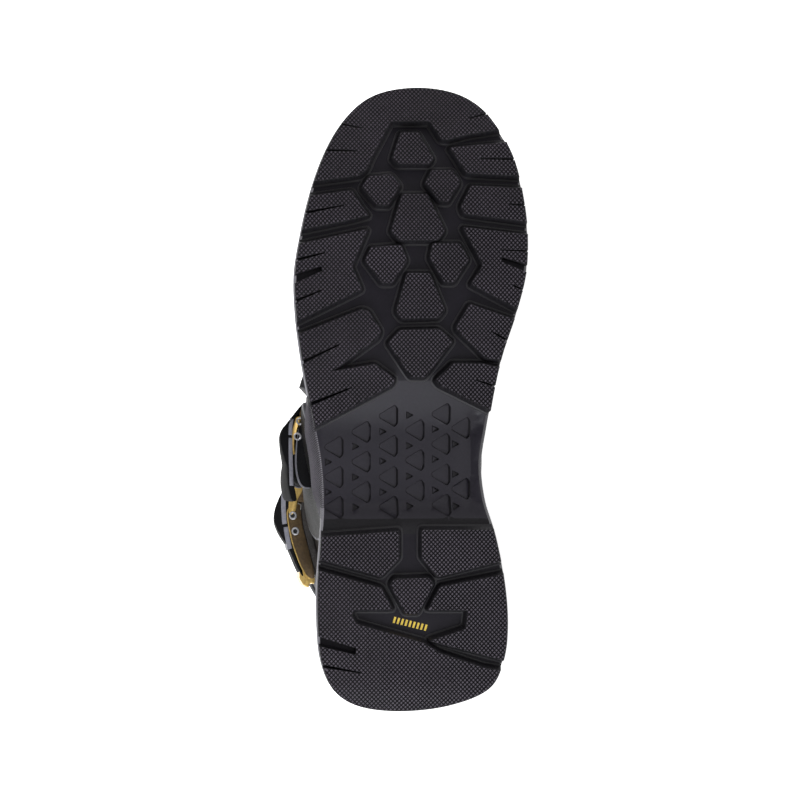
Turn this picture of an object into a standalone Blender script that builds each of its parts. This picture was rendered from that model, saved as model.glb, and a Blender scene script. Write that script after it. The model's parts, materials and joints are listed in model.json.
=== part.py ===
"""A tall motorcycle boot for the right foot, lying on its inner side.

It is modelled standing: +X is the outer (lateral) side, +Y the toe, +Z up, the tread on z = 0 and the back of
the heel on y = 0. The last step lays it down on the inner side, where three points of it carry it.
Lengths are metres. Tables hold shares of the named sizes that they follow.
"""

import math

import bmesh
import bpy
import numpy as np
from mathutils import Matrix, Vector
from mathutils.bvhtree import BVHTree

# Sole
SOLE_LENGTH = 0.315
BALL_WIDTH = 0.1165
HEEL_THICKNESS = 0.031
WAIST_THICKNESS = 0.028
BALL_THICKNESS = 0.024
TOE_THICKNESS = 0.023
TOE_SPRING = 0.016
HEEL_BEVEL = 0.004
WAIST_LIFT = 0.002
LUG_HEIGHT = 0.0055
LUG_DRAFT = 0.15
ARCH_RISE = 0.0075
EDGE_ROUND = 0.0042
SIDE_GROOVE = 0.0022
WAIST_FLARE = 0.005

# Upper
BOOT_HEIGHT = 0.350
INSTEP_HEIGHT = 0.125
COLLAR_WIDTH = 0.120
COLLAR_DROP = 0.014
SHAFT_SHIFT = 0.003
UPPER_WALL = 0.003
FEATHER_INSET = 0.0072
INSOLE_THICKNESS = 0.004
INSOLE_CLEARANCE = 0.002
SEAT_GAP = 0.0004

# What is laid over the upper, from inside out
GAP = 0.0003
GUARD_THICKNESS = 0.0025
STRAP_THICKNESS = 0.003
STRAP_WIDTH = 0.030
BASE_THICKNESS = 0.0062
BASE_WIDTH = 0.026
BASE_LENGTH = 0.042
LEVER_WIDTH = 0.022
LEVER_LENGTH = 0.019
COVER_THICKNESS = 0.0055
COVER_WIDTH = 0.028
COVER_LENGTH = 0.038
COVER_SETBACK = 0.020
COVER_GAP = 0.0008
PIN_RADIUS = 0.0021
PIN_STAND = 0.0004
PIN_SETBACKS = (0.036, 0.028)
PULL_LOOP_HEIGHT = 0.030
PULL_LOOP_THICKNESS = 0.0022

# How finely the forms are divided
SOLE_STATIONS = 30
UPPER_STATIONS = 22
FOOT_LOOPS = 10
SHAFT_LOOPS = 8
REACH = 0.012
FAR = 0.25

RUBBER = ("tread rubber", (0.035, 0.034, 0.038), 0.6, 0.0)
LEATHER = ("shaft leather", (0.05, 0.045, 0.042), 0.55, 0.0)
GUARD = ("guard plastic", (0.02, 0.02, 0.022), 0.4, 0.0)
LINING = ("insole foam", (0.12, 0.12, 0.13), 0.9, 0.0)
BAND = ("strap plastic", (0.03, 0.03, 0.033), 0.45, 0.0)
GOLD = ("buckle gold", (0.8, 0.55, 0.18), 0.25, 1.0)
BRONZE = ("buckle bronze", (0.30, 0.20, 0.10), 0.35, 1.0)
STEEL = ("pin steel", (0.7, 0.7, 0.72), 0.2, 1.0)

# Rim of the sole in thousandths: place along the length, then outer and inner edge across the ball width
OUTLINE = (
    # along, outer, inner
    (0, 50, 50),
    (8, 223, -146),
    (34, 339, -318),
    (82, 400, -391),
    (146, 417, -409),
    (209, 417, -395),
    (274, 404, -361),
    (330, 395, -321),
    (393, 404, -304),
    (450, 430, -326),
    (498, 455, -348),
    (565, 487, -387),
    (628, 508, -443),
    (692, 513, -487),
    (755, 487, -495),
    (820, 447, -478),
    (885, 387, -438),
    (933, 318, -373),
    (964, 249, -309),
    (981, 189, -249),
    (990, 137, -198),
    (1000, -34, -34),
)

# Lugs that run out at the rim, as (across, along) in thousandths. The first and last corner are on the rim.
RIM_LUGS = {
    "outer_1": ((440, 827), (270, 836), (224, 812), (179, 796), (475, 772)),
    "outer_2": ((479, 750), (190, 775), (261, 716), (214, 679), (505, 626)),
    "outer_3": ((497, 605), (218, 645), (135, 610), (349, 547), (166, 557), (70, 535), (292, 485), (418, 454)),
    "inner_1": ((-410, 913), (-174, 904), (-240, 865), (-458, 862)),
    "inner_2": ((-475, 839), (-261, 844), (-214, 806), (-492, 787)),
    "inner_3": ((-488, 769), (-222, 777), (-314, 721), (-257, 687), (-449, 645)),
    "inner_4": ((-440, 626), (-257, 653), (-192, 615), (-327, 567), (-388, 563)),
    "inner_5": ((-375, 551), (-309, 559), (-179, 560), (-100, 531), (-331, 482)),
    "heel_outer": ((410, 284), (61, 287), (61, 244), (131, 215), (414, 246)),
    "heel_inner": ((-344, 291), (-48, 291), (-48, 246), (-122, 215), (-379, 242)),
    "heel_block": ((-379, 222), (-126, 197), (-74, 162), (-248, 162), (-235, 132), (-70, 112), (-383, 80)),
}

# Lugs that wrap round the toe and the back of the heel: corners as above, then two corners beyond the sole
END_LUGS = {
    "toe": ((418, 851), (218, 865), (196, 872), (96, 945), (-78, 949), (-148, 918), (-375, 934)),
    "heel_back": ((414, 225), (135, 197), (83, 164), (257, 164), (244, 140), (-26, 106), (-375, 67)),
}
END_CORNERS = {"toe": ((-700, 1080), (700, 1080)), "heel_back": ((-700, -80), (700, -80))}

# Six-sided lugs along the middle, in thousandths
MIDDLE_LUGS = (
    # across, toe end, widest, heel end, half width at the toe end, at the widest, at the heel end
    (0, 929, 888, 876, 39, 94, 70),
    (-28, 831, 772, 756, 52, 115, 85),
    (-39, 700, 644, 630, 48, 107, 85),
    (133, 860, 841, 811, 52, 81, 22),
    (-135, 868, 849, 817, 44, 78, 22),
    (111, 746, 725, 687, 61, 89, 24),
    (-163, 751, 727, 690, 57, 85, 24),
    (-35, 613, 592, 536, 87, 139, 39),
    (0, 213, 204, 156, 70, 92, 26),
)

# Wide tapered notches that drain the rim lugs, wide end first and beyond the rim
NOTCHES = (
    ((600, 712), (410, 714), (388, 708), (600, 684)),
    ((-600, 722), (-397, 727), (-388, 722), (-600, 696)),
    ((600, 128), (261, 104), (240, 90), (600, 94)),
)

# Side of the sole: how far up from the bottom edge to the top edge, and how far in from the rim
SIDE_STEPS = (
    # rise, inset in metres
    (0.00, 0.0016),
    (0.14, 0.0),
    (0.46, 0.0008),
    (0.52, SIDE_GROOVE),
    (0.62, SIDE_GROOVE),
    (0.68, 0.0008),
    (0.90, 0.0018),
    (1.00, EDGE_ROUND),
)

# Loops of the foot. Rise from the feather edge to the instep, front and back along the sole length, and
# half widths in shares of the ball width towards the heel, in the middle and towards the toe
FOOT_SECTIONS = (
    # rise, front, back, heel, middle, toe
    (0.00, 0.977, 0.023, 0.340, 0.340, 0.430),
    (0.20, 0.975, 0.012, 0.340, 0.370, 0.430),
    (0.36, 0.955, 0.010, 0.335, 0.395, 0.425),
    (0.47, 0.905, 0.014, 0.330, 0.410, 0.415),
    (0.57, 0.825, 0.020, 0.330, 0.420, 0.405),
    (0.70, 0.730, 0.027, 0.335, 0.425, 0.395),
    (0.85, 0.655, 0.031, 0.340, 0.425, 0.380),
    (1.00, 0.600, 0.030, 0.350, 0.420, 0.370),
)

# Loops of the shaft. Rise from the instep to the collar, then as above, with widths of the collar width
SHAFT_SECTIONS = (
    # rise, front, back, heel, middle, toe
    (0.00, 0.600, 0.030, 0.340, 0.408, 0.359),
    (0.12, 0.545, 0.024, 0.360, 0.402, 0.368),
    (0.28, 0.513, 0.010, 0.390, 0.428, 0.392),
    (0.46, 0.498, -0.004, 0.420, 0.458, 0.418),
    (0.64, 0.494, -0.016, 0.442, 0.485, 0.440),
    (0.82, 0.497, -0.024, 0.456, 0.496, 0.454),
    (1.00, 0.505, -0.029, 0.462, 0.500, 0.462),
)

# Places of the sections' three widths round the loop, and how blunt a loop's ends are
WIDTH_PLACES = (0.15, 0.50, 0.85)
FOOT_BLUNTNESS = 0.75
SHAFT_BLUNTNESS = 0.85

# Straps seen from the side: the rear end of the buckle and the front of the strap, along the length and up
# the height, and whether the buckle stands on a guard
STRAPS = {
    # name: rear end, front, on a guard
    "instep": ((0.315, 0.232), (0.640, 0.335), True),
    "ankle": ((0.160, 0.425), (0.540, 0.475), False),
    "shin": ((0.165, 0.655), (0.500, 0.700), False),
}

# Overlays: outline seen from the side as (along the length, up the height), and the side that they cover
GUARDS = {
    "toe_cap": (((0.755, 0.00), (0.790, 0.14), (0.850, 0.30), (1.10, 0.30), (1.10, 0.00)), (-1, 1)),
    "heel_counter": (((-0.10, 0.00), (-0.10, 0.235), (0.130, 0.225), (0.215, 0.150), (0.235, 0.00)), (-1, 1)),
    "ankle_guard": (((0.245, 0.270), (0.270, 0.205), (0.340, 0.165), (0.430, 0.165), (0.485, 0.215),
                     (0.490, 0.290), (0.440, 0.355), (0.360, 0.375), (0.285, 0.365), (0.250, 0.325)), (0, 1)),
    "shin_plate": (((0.440, 0.555), (0.430, 0.640), (0.430, 0.900), (0.70, 0.900), (0.70, 0.555)), (-1, 1)),
    "heat_guard": (((0.085, 0.430), (0.070, 0.880), (0.395, 0.880), (0.395, 0.540), (0.330, 0.400),
                    (0.150, 0.390)), (-1, 0)),
    "calf_panel": (((-0.10, 0.400), (-0.10, 0.880), (0.035, 0.880), (0.060, 0.550), (0.060, 0.440),
                    (0.045, 0.400)), (-1, 1)),
    "collar_cuff": (((-0.10, 0.915), (-0.10, 1.10), (0.70, 1.10), (0.70, 0.915)), (-1, 1)),
}


def clear_scene():
    for obj in list(bpy.data.objects):
        bpy.data.objects.remove(obj, do_unlink=True)


def new_collection(name, hidden=False):
    """A collection in the scene. Cutters go in a hidden one."""
    group = bpy.data.collections.new(name)
    group.hide_render = hidden
    bpy.context.scene.collection.children.link(group)
    return group


def principled(name, colour, roughness, metallic):
    """The material of this name, made once."""
    found = bpy.data.materials.get(name)
    if found:
        return found
    material = bpy.data.materials.new(name)
    material.use_nodes = True
    shader = material.node_tree.nodes["Principled BSDF"]
    shader.inputs["Base Color"].default_value = (*colour, 1.0)
    shader.inputs["Roughness"].default_value = roughness
    shader.inputs["Metallic"].default_value = metallic
    return material


def hermite(knots, values, at):
    """A smooth curve through the values, with slopes taken from the neighbours."""
    knots, values, at = (np.asarray(item, float) for item in (knots, values, at))
    slopes = np.gradient(values, knots)
    at = np.clip(at, knots[0], knots[-1])
    span = np.clip(np.searchsorted(knots, at, side="right") - 1, 0, len(knots) - 2)
    width = knots[span + 1] - knots[span]
    share = (at - knots[span]) / width
    square, cube = share**2, share**3
    return (
        values[span] * (2 * cube - 3 * square + 1)
        + slopes[span] * width * (cube - 2 * square + share)
        + values[span + 1] * (3 * square - 2 * cube)
        + slopes[span + 1] * width * (cube - square)
    )


def ramp(low, high, at):
    """0 below low, 1 above high and an even S between them."""
    share = np.clip((np.asarray(at, float) - low) / (high - low), 0.0, 1.0)
    return share * share * (3.0 - 2.0 * share)


def turn_of(share):
    """The share of a half turn whose cosine spacing gives this share of the length."""
    return np.arccos(np.clip(1.0 - 2.0 * np.asarray(share, float), -1.0, 1.0)) / math.pi


def rim_edges(turn):
    """Outer and inner edge of the sole at this share of a half turn from heel to toe."""
    along, outer, inner = np.array(OUTLINE, float).T / 1000.0
    knots = turn_of(along)
    return hermite(knots, outer, turn) * BALL_WIDTH, hermite(knots, inner, turn) * BALL_WIDTH


def edges_at(y):
    return rim_edges(turn_of(np.asarray(y) / SOLE_LENGTH))


def rim_ring(stations, inset):
    """The rim moved in by inset: a loop of 2 x stations points from the heel along the outer side to the toe."""
    index = np.arange(2 * stations)
    turn = np.where(index <= stations, index, 2 * stations - index) / stations
    outer, inner = rim_edges(turn)
    x = np.where(index <= stations, outer, inner)
    ring = np.stack([x, SOLE_LENGTH * (1.0 - np.cos(math.pi * turn)) / 2.0], axis=1)
    along = np.roll(ring, -1, axis=0) - np.roll(ring, 1, axis=0)
    inward = np.stack([-along[:, 1], along[:, 0]], axis=1)
    inward /= np.linalg.norm(inward, axis=1, keepdims=True)
    return ring + inward * inset


def tread_height(y):
    """Height of the lugs' faces: flat under heel and ball, rising to the toe, with a bevelled heel back."""
    share = np.asarray(y, float) / SOLE_LENGTH
    toe = TOE_SPRING * np.clip((share - 0.74) / 0.26, 0.0, 1.3) ** 1.7
    heel = HEEL_BEVEL * np.clip((0.055 - share) / 0.055, 0.0, 1.3) ** 2
    waist = WAIST_LIFT * ramp(0.30, 0.38, share) * (1.0 - ramp(0.50, 0.60, share))
    return toe + heel + waist


def floor_height(y):
    """Height of the sole's body between the lugs, with the raised arch and the sloping breast of the heel."""
    share = np.asarray(y, float) / SOLE_LENGTH
    arch = ARCH_RISE * ramp(0.292, 0.338, share) * (1.0 - ramp(0.44, 0.56, share))
    return tread_height(y) + LUG_HEIGHT + arch


def top_height(y):
    """Height of the sole's upper face, on which the upper stands."""
    share = np.asarray(y, float) / SOLE_LENGTH
    thickness = (HEEL_THICKNESS, HEEL_THICKNESS, WAIST_THICKNESS, BALL_THICKNESS, BALL_THICKNESS, TOE_THICKNESS)
    toe = TOE_SPRING * np.clip((share - 0.74) / 0.26, 0.0, 1.3) ** 1.7
    return hermite((-0.1, 0.22, 0.45, 0.70, 0.80, 1.0), thickness, share) + toe


def mesh_object(name, points, faces, group):
    """A closed mesh from points and faces, with its faces turned outwards."""
    mesh = bpy.data.meshes.new(name)
    mesh.from_pydata([tuple(map(float, point)) for point in points], [], faces)
    work = bmesh.new()
    work.from_mesh(mesh)
    bmesh.ops.recalc_face_normals(work, faces=work.faces)
    if work.calc_volume(signed=True) < 0.0:
        bmesh.ops.reverse_faces(work, faces=work.faces)
    work.to_mesh(mesh)
    work.free()
    obj = bpy.data.objects.new(name, mesh)
    group.objects.link(obj)
    return obj


def ring_stack(name, rings, low, high, group):
    """A solid between stacked rings, closed at both ends by strips from its outer to its inner side.

    low and high give the height of the end faces at y, where the strips have a point on the middle line.
    """
    count = len(rings[0])
    half = count // 2
    points = [tuple(point) for ring in rings for point in ring]
    faces = []
    for level in range(len(rings) - 1):
        for place in range(count):
            here, there = level * count + place, level * count + (place + 1) % count
            faces.append((here, there, there + count, here + count))
    for first, height in ((0, low), ((len(rings) - 1) * count, high)):
        rows = [[first]]
        for place in range(1, half):
            outer, inner = first + place, first + count - place
            middle = (np.array(points[outer]) + np.array(points[inner])) / 2.0
            middle[2] = float(height(middle[1]))
            points.append(tuple(middle))
            rows.append([outer, len(points) - 1, inner])
        rows.append([first + half])
        for row, after in zip(rows, rows[1:]):
            for side in (0, 1):
                corners = [row[min(side, len(row) - 1)], row[min(side + 1, len(row) - 1)],
                           after[min(side + 1, len(after) - 1)], after[min(side, len(after) - 1)]]
                faces.append(tuple(dict.fromkeys(corners)))
    return mesh_object(name, points, faces, group)


def ring_at(inset, height, stations=SOLE_STATIONS):
    """A rim ring whose height follows a function of y."""
    flat = rim_ring(stations, inset)
    return np.column_stack([flat, height(flat[:, 1])])


def grown(corners, width):
    """An outline with each side moved outwards by width, or inwards where width is below zero."""
    corners = np.asarray(corners, float)
    after = np.roll(corners, -1, axis=0) - corners
    area = np.sum(corners[:, 0] * np.roll(corners[:, 1], -1) - corners[:, 1] * np.roll(corners[:, 0], -1))
    normal = np.column_stack([after[:, 1], -after[:, 0]]) * math.copysign(1.0, area)
    normal /= np.linalg.norm(normal, axis=1, keepdims=True)
    before = np.roll(normal, 1, axis=0)
    bisector = normal + before
    bisector /= np.maximum(np.sum(bisector * normal, axis=1, keepdims=True), 0.5)
    return corners + bisector * width


def lug_outlines():
    """Every lug's outline in metres, with the rim lugs carried past the rim along their sides."""
    scale = np.array([BALL_WIDTH, SOLE_LENGTH]) / 1000.0
    outlines = []
    for name, corners in (*RIM_LUGS.items(), *END_LUGS.items()):
        outline = np.array(corners, float) * scale
        for end, neighbour in ((0, 1), (-1, -2)):
            away = outline[end] - outline[neighbour]
            outline[end] += away / np.linalg.norm(away) * REACH
        beyond = np.array(END_CORNERS.get(name, ()), float).reshape(-1, 2) * scale
        outlines.append(np.vstack([outline, beyond]))
    for across, toe, widest, heel, toe_half, wide_half, heel_half in MIDDLE_LUGS:
        corners = ((across + toe_half, toe), (across - toe_half, toe), (across - wide_half, widest),
                   (across - heel_half, heel), (across + heel_half, heel), (across + wide_half, widest))
        outlines.append(np.array(corners, float) * scale)
    return outlines


def prisms(name, outlines, group, draft):
    """Upright prisms from below the tread into the sole's body, narrower towards the ground."""
    points, faces = [], []
    for outline in outlines:
        place = np.clip(outline[:, 1], 0.0, SOLE_LENGTH)
        low = float(tread_height(place).min()) - 0.003
        high = float(floor_height(place).max()) + 0.0012
        narrow = grown(outline, -draft * (high - low) / 2.0)
        wide = grown(outline, draft * (high - low) / 2.0)
        first, count = len(points), len(outline)
        points += [(x, y, low) for x, y in narrow] + [(x, y, high) for x, y in wide]
        faces += [tuple(range(first, first + count)), tuple(range(first + count, first + 2 * count))]
        for place in range(count):
            after = (place + 1) % count
            faces.append((first + place, first + after, first + count + after, first + count + place))
    return mesh_object(name, points, faces, group)


def boolean(obj, operation, operand, crossing=False):
    """A Boolean modifier. crossing is for meshes whose own bodies may meet one another."""
    modifier = obj.modifiers.new(f"{operation.lower()} {operand.name}", "BOOLEAN")
    modifier.operation = operation
    modifier.object = operand
    modifier.use_self = crossing


def hide_helper(obj):
    obj.hide_render = True
    obj.display_type = "WIRE"


def outsole(group, cutters):
    """The sole's body with grooved sides, and the lugs cut to the tread's surface and joined to it."""
    rings = []
    for rise, inset in SIDE_STEPS:
        ring = ring_at(inset, lambda y, rise=rise: floor_height(y) * (1 - rise) + top_height(y) * rise)
        share = ring[:, 1] / SOLE_LENGTH
        waist = ramp(0.29, 0.36, share) * (1.0 - ramp(0.43, 0.52, share)) * (ring[:, 0] > 0.0)
        ring[:, 0] += WAIST_FLARE * waist * ramp(0.0, 0.7, rise)
        rings.append(ring)
    body = ring_stack("outsole", rings, floor_height, top_height, group)

    surface = [
        ring_at(0.0022, tread_height),
        ring_at(0.0008, lambda y: tread_height(y) + 0.0014),
        ring_at(0.0008, lambda y: floor_height(y) + 0.0025),
    ]
    envelope = ring_stack("lug_envelope", surface, tread_height, lambda y: floor_height(y) + 0.0025, cutters)
    lugs = prisms("lugs", lug_outlines(), cutters, LUG_DRAFT)
    scale = np.array([BALL_WIDTH, SOLE_LENGTH]) / 1000.0
    notches = prisms("lug_notches", [np.array(corners) * scale for corners in NOTCHES], cutters, -LUG_DRAFT)
    boolean(lugs, "DIFFERENCE", notches, crossing=True)
    boolean(lugs, "INTERSECT", envelope, crossing=True)
    boolean(body, "UNION", lugs, crossing=True)
    for helper in (envelope, lugs, notches):
        hide_helper(helper)
    return body


def insole(group):
    """The foot bed inside the upper's wall."""
    inset = FEATHER_INSET + UPPER_WALL + INSOLE_CLEARANCE
    rings = [
        ring_at(inset, lambda y: top_height(y) + GAP, UPPER_STATIONS),
        ring_at(inset, lambda y: top_height(y) + GAP + INSOLE_THICKNESS, UPPER_STATIONS),
    ]
    return ring_stack("insole", rings, lambda y: top_height(y) + GAP,
                      lambda y: top_height(y) + GAP + INSOLE_THICKNESS, group)


def section(table, rise):
    """A table's row between its rows, at this rise."""
    columns = np.array(table, float).T
    return [float(hermite(columns[0], column, rise)) for column in columns[1:]]


def loop_at(rise, on_shaft):
    """One loop of the upper's outer face, from the heel along the outer side to the toe and back."""
    table, width = (SHAFT_SECTIONS, COLLAR_WIDTH) if on_shaft else (FOOT_SECTIONS, BALL_WIDTH)
    front, back, *halves = section(table, rise)
    index = np.arange(2 * UPPER_STATIONS)
    turn = index * math.pi / UPPER_STATIONS
    share = (1.0 - np.cos(turn)) / 2.0
    bluntness = FOOT_BLUNTNESS + (SHAFT_BLUNTNESS - FOOT_BLUNTNESS) * (rise if on_shaft else 0.0)
    half = hermite(WIDTH_PLACES, halves, share) * width * np.abs(np.sin(turn)) ** bluntness
    y = (back + (front - back) * share) * SOLE_LENGTH
    outer, inner = edges_at(np.clip(y, 0.02 * SOLE_LENGTH, 0.985 * SOLE_LENGTH))
    swing = 1.0 if on_shaft else rise
    middle = (outer + inner) / 2.0 * (1.0 - swing) + SHAFT_SHIFT * swing
    x = middle + np.where(np.sin(turn) >= 0.0, half, -half)
    if on_shaft:
        height = INSTEP_HEIGHT + (BOOT_HEIGHT - INSTEP_HEIGHT) * rise
        return np.column_stack([x, y, height - COLLAR_DROP * rise**2 * (1.0 - share)])
    edge = rim_ring(UPPER_STATIONS, FEATHER_INSET)
    own = float(ramp(0.0, 0.36, rise))
    flat = edge * (1.0 - own) + np.column_stack([x, y]) * own
    feather = top_height(flat[:, 1]) + SEAT_GAP
    return np.column_stack([flat, feather * (1.0 - rise) + INSTEP_HEIGHT * rise])


def upper_lattice():
    """Points and outward normals of the upper's outer face, loop by loop from the sole to the collar."""
    foot = [loop_at(rise, False) for rise in np.linspace(0.0, 1.0, FOOT_LOOPS, endpoint=False)]
    shaft = [loop_at(rise, True) for rise in np.linspace(0.0, 1.0, SHAFT_LOOPS + 1)]
    points = np.array(foot + shaft)
    around = np.roll(points, -1, axis=1) - np.roll(points, 1, axis=1)
    up = np.gradient(points, axis=0)
    normals = np.cross(around, up)
    for end in (0, -1):
        normals[end, :, 2] = 0.0
    normals /= np.linalg.norm(normals, axis=2, keepdims=True)
    return points, normals


def shell(name, low, high, group):
    """The wall between two offsets from the upper's outer face, open at the collar and underneath."""
    points, normals = upper_lattice()
    levels, count = points.shape[:2]
    faced = []
    for offset in (high, low):
        moved = points + normals * offset
        moved[0, :, 2] = top_height(moved[0, :, 1]) + SEAT_GAP
        faced.append(moved.reshape(-1, 3))
    walls = np.concatenate(faced)
    inside = levels * count
    faces = []
    for level in range(levels - 1):
        for place in range(count):
            after = (place + 1) % count
            here, there = level * count + place, level * count + after
            for shift in (0, inside):
                corners = [here + shift, there + shift, there + count + shift, here + count + shift]
                faces += [(corners[0], corners[1], corners[2]), (corners[0], corners[2], corners[3])]
    for level in (0, levels - 1):
        for place in range(count):
            here, there = level * count + place, level * count + (place + 1) % count
            faces.append((here, there, there + inside, here + inside))
    return mesh_object(name, walls, faces, group)


def window(name, outline, low, high, cutters):
    """A prism across the boot from x = low to x = high, whose outline is seen from the side."""
    count = len(outline)
    points = [(low, y, z) for y, z in outline] + [(high, y, z) for y, z in outline]
    faces = [tuple(range(count)), tuple(range(count, 2 * count))]
    faces += [(i, (i + 1) % count, count + (i + 1) % count, count + i) for i in range(count)]
    obj = mesh_object(name, points, faces, cutters)
    hide_helper(obj)
    return obj


def overlay(name, low, high, outline, sides, group, cutters):
    """The part of a shell over the upper that shows through a window."""
    piece = shell(name, low, high, group)
    reach = [FAR * side for side in sides]
    boolean(piece, "INTERSECT", window(f"{name}_window", outline, *reach, cutters))
    return piece


def guards(group, cutters):
    """The toe cap, counter, plates and cuff, a first layer on the upper."""
    pieces = []
    for name, (outline, sides) in GUARDS.items():
        real = [(along * SOLE_LENGTH, up * BOOT_HEIGHT) for along, up in outline]
        pieces.append(overlay(name, GAP, GAP + GUARD_THICKNESS, real, sides, group, cutters))
    return pieces


def band_outline(start, way, length, width):
    """A rectangle seen from the side, from start along way."""
    start, way = Vector(start), Vector(way).normalized()
    across = Vector((-way.y, way.x)) * width / 2.0
    end = start + way * length
    return [tuple(start - across), tuple(end - across), tuple(end + across), tuple(start + across)]


def strap_line(ends):
    """Where a strap's outer end is and which way it runs, seen from the side."""
    rear, front = (Vector((along * SOLE_LENGTH, up * BOOT_HEIGHT)) for along, up in ends)
    return rear, (front - rear).normalized()


def strap_set(name, ends, group, cutters):
    """A strap round the front with its buckle on the outer side.

    The base stands behind on the upper or its guard and carries two pins. The lever closes the space from the
    base to the strap, and the cover lies over base and lever.
    """
    *line, on_guard = ends
    rear, way = strap_line(line)
    strap_low = 2 * GAP + GUARD_THICKNESS
    base_low = strap_low if on_guard else GAP
    base_high = base_low + BASE_THICKNESS
    cover_low = max(base_high, strap_low + STRAP_THICKNESS) + COVER_GAP
    lever_start = BASE_LENGTH + GAP
    strap_start = lever_start + LEVER_LENGTH + GAP
    outlines = {
        "strap": (strap_low, strap_low + STRAP_THICKNESS, strap_start, FAR, STRAP_WIDTH, (-1, 1), BAND),
        "buckle_base": (base_low, base_high, 0.0, BASE_LENGTH, BASE_WIDTH, (0, 1), BRONZE),
        "buckle_lever": (strap_low, cover_low - GAP, lever_start, LEVER_LENGTH, LEVER_WIDTH, (0, 1), GOLD),
        "buckle_cover": (cover_low, cover_low + COVER_THICKNESS, COVER_SETBACK, COVER_LENGTH, COVER_WIDTH,
                         (0, 1), GUARD),
    }
    made = []
    for kind, (low, high, start, length, width, sides, finish) in outlines.items():
        outline = band_outline(rear + way * start, way, length, width)
        made.append((overlay(f"{name}_{kind}", low, high, outline, sides, group, cutters), finish))
    points, normals = upper_lattice()
    core = skin_tree(points + normals * (base_low + base_high) / 2.0)
    across = Vector((0.0, -way.y, way.x))
    base = made[1][0]
    for number, setback in enumerate(PIN_SETBACKS, start=1):
        seat = rear + way * setback
        centre = core.ray_cast(Vector((FAR, seat.x, seat.y)), Vector((-1.0, 0.0, 0.0)))[0]
        bore = pin(f"{name}_bore_{number}", centre, across, PIN_RADIUS + GAP, 2.0 * BASE_WIDTH, cutters)
        boolean(base, "DIFFERENCE", bore)
        hide_helper(bore)
        length = BASE_WIDTH + 2.0 * PIN_STAND
        made.append((pin(f"{name}_pin_{number}", centre, across, PIN_RADIUS, length, group), STEEL))
    return made


def skin_tree(lattice):
    """A search tree of a lattice's faces."""
    levels, count = lattice.shape[:2]
    faces = []
    for level in range(levels - 1):
        for place in range(count):
            here, there = level * count + place, level * count + (place + 1) % count
            faces.append((here, there, there + count, here + count))
    return BVHTree.FromPolygons([tuple(point) for point in lattice.reshape(-1, 3)], faces)


def pin(name, centre, way, radius, length, group):
    """A round pin, centred here."""
    work = bmesh.new()
    bmesh.ops.create_cone(work, cap_ends=True, segments=12, radius1=radius, radius2=radius, depth=length)
    mesh = bpy.data.meshes.new(name)
    work.to_mesh(mesh)
    work.free()
    obj = bpy.data.objects.new(name, mesh)
    obj.matrix_world = Matrix.Translation(centre) @ way.to_track_quat("Z", "X").to_matrix().to_4x4()
    group.objects.link(obj)
    return obj


def pull_loop(group):
    """A webbing loop that stands on the back of the collar's rim: half a ring with its feet on the wall."""
    points, _ = upper_lattice()
    seat = points[-1, 0]
    outline = []
    steps = 10
    for radius, order in ((1.0, 1), (1.0 - PULL_LOOP_THICKNESS / (PULL_LOOP_HEIGHT / 2.0), -1)):
        for step in range(steps + 1)[::order]:
            turn = math.pi * step / steps
            outline.append((math.cos(turn) * PULL_LOOP_HEIGHT / 2.0 * radius,
                            math.sin(turn) * PULL_LOOP_HEIGHT / 2.0 * radius))
    count = len(outline)
    low, high = (seat[1] + UPPER_WALL / 2.0 + side * UPPER_WALL / 2.6 for side in (-1, 1))
    base = seat[2] + GAP
    nodes = [(x, low, base + z) for x, z in outline] + [(x, high, base + z) for x, z in outline]
    faces = []
    half = count // 2
    for step in range(half - 1):
        inner = count - 1 - step
        for shift in (0, count):
            faces.append((step + shift, step + 1 + shift, inner - 1 + shift, inner + shift))
    for step in range(count):
        after = (step + 1) % count
        faces.append((step, after, after + count, step + count))
    return mesh_object("pull_loop", nodes, faces, group)


def evaluated_points(objects):
    """World points, and each object's volume and centre of volume."""
    graph = bpy.context.evaluated_depsgraph_get()
    points, volume, moment = [], 0.0, Vector((0.0, 0.0, 0.0))
    for obj in objects:
        mesh = obj.evaluated_get(graph).to_mesh()
        mesh.calc_loop_triangles()
        placed = [obj.matrix_world @ vertex.co for vertex in mesh.vertices]
        points += placed
        for triangle in mesh.loop_triangles:
            a, b, c = (placed[corner] for corner in triangle.vertices)
            part = a.dot(b.cross(c)) / 6.0
            volume += part
            moment += (a + b + c) * part / 4.0
    return points, moment / volume


def resting_normal(points, centre):
    """The outward normal of the hull face on the inner side over which the centre lies."""
    hull = bmesh.new()
    for point in points:
        hull.verts.new(point)
    made = bmesh.ops.convex_hull(hull, input=hull.verts)["geom"]
    best = None
    for face in (item for item in made if isinstance(item, bmesh.types.BMFace)):
        normal = face.normal.copy()
        foot = centre - normal * (centre - face.verts[0].co).dot(normal)
        corners = [vert.co for vert in face.verts]
        inside = all(
            (after - corner).cross(foot - corner).dot(normal) >= 0.0
            for corner, after in zip(corners, corners[1:] + corners[:1])
        )
        if inside and (best is None or normal.x < best.x):
            best = normal
    hull.free()
    return best


def lay_down(frame, objects):
    """Turns the boot so that the hull face on its inner side is the ground, with the toe along +Y."""
    bpy.context.view_layer.update()
    points, centre = evaluated_points(objects)
    down = resting_normal(points, centre)
    toe = Vector((0.0, 1.0, 0.0))
    toe = (toe - down * toe.dot(down)).normalized()
    up = -down
    turn = Matrix((toe.cross(up), toe, up)).to_4x4()
    turned = [turn @ point for point in points]
    low = Vector([min(point[axis] for point in turned) for axis in range(3)])
    high = Vector([max(point[axis] for point in turned) for axis in range(3)])
    shift = Vector((-(low.x + high.x) / 2.0, -(low.y + high.y) / 2.0, -low.z))
    frame.matrix_world = Matrix.Translation(shift) @ turn
    bpy.context.view_layer.update()


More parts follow.
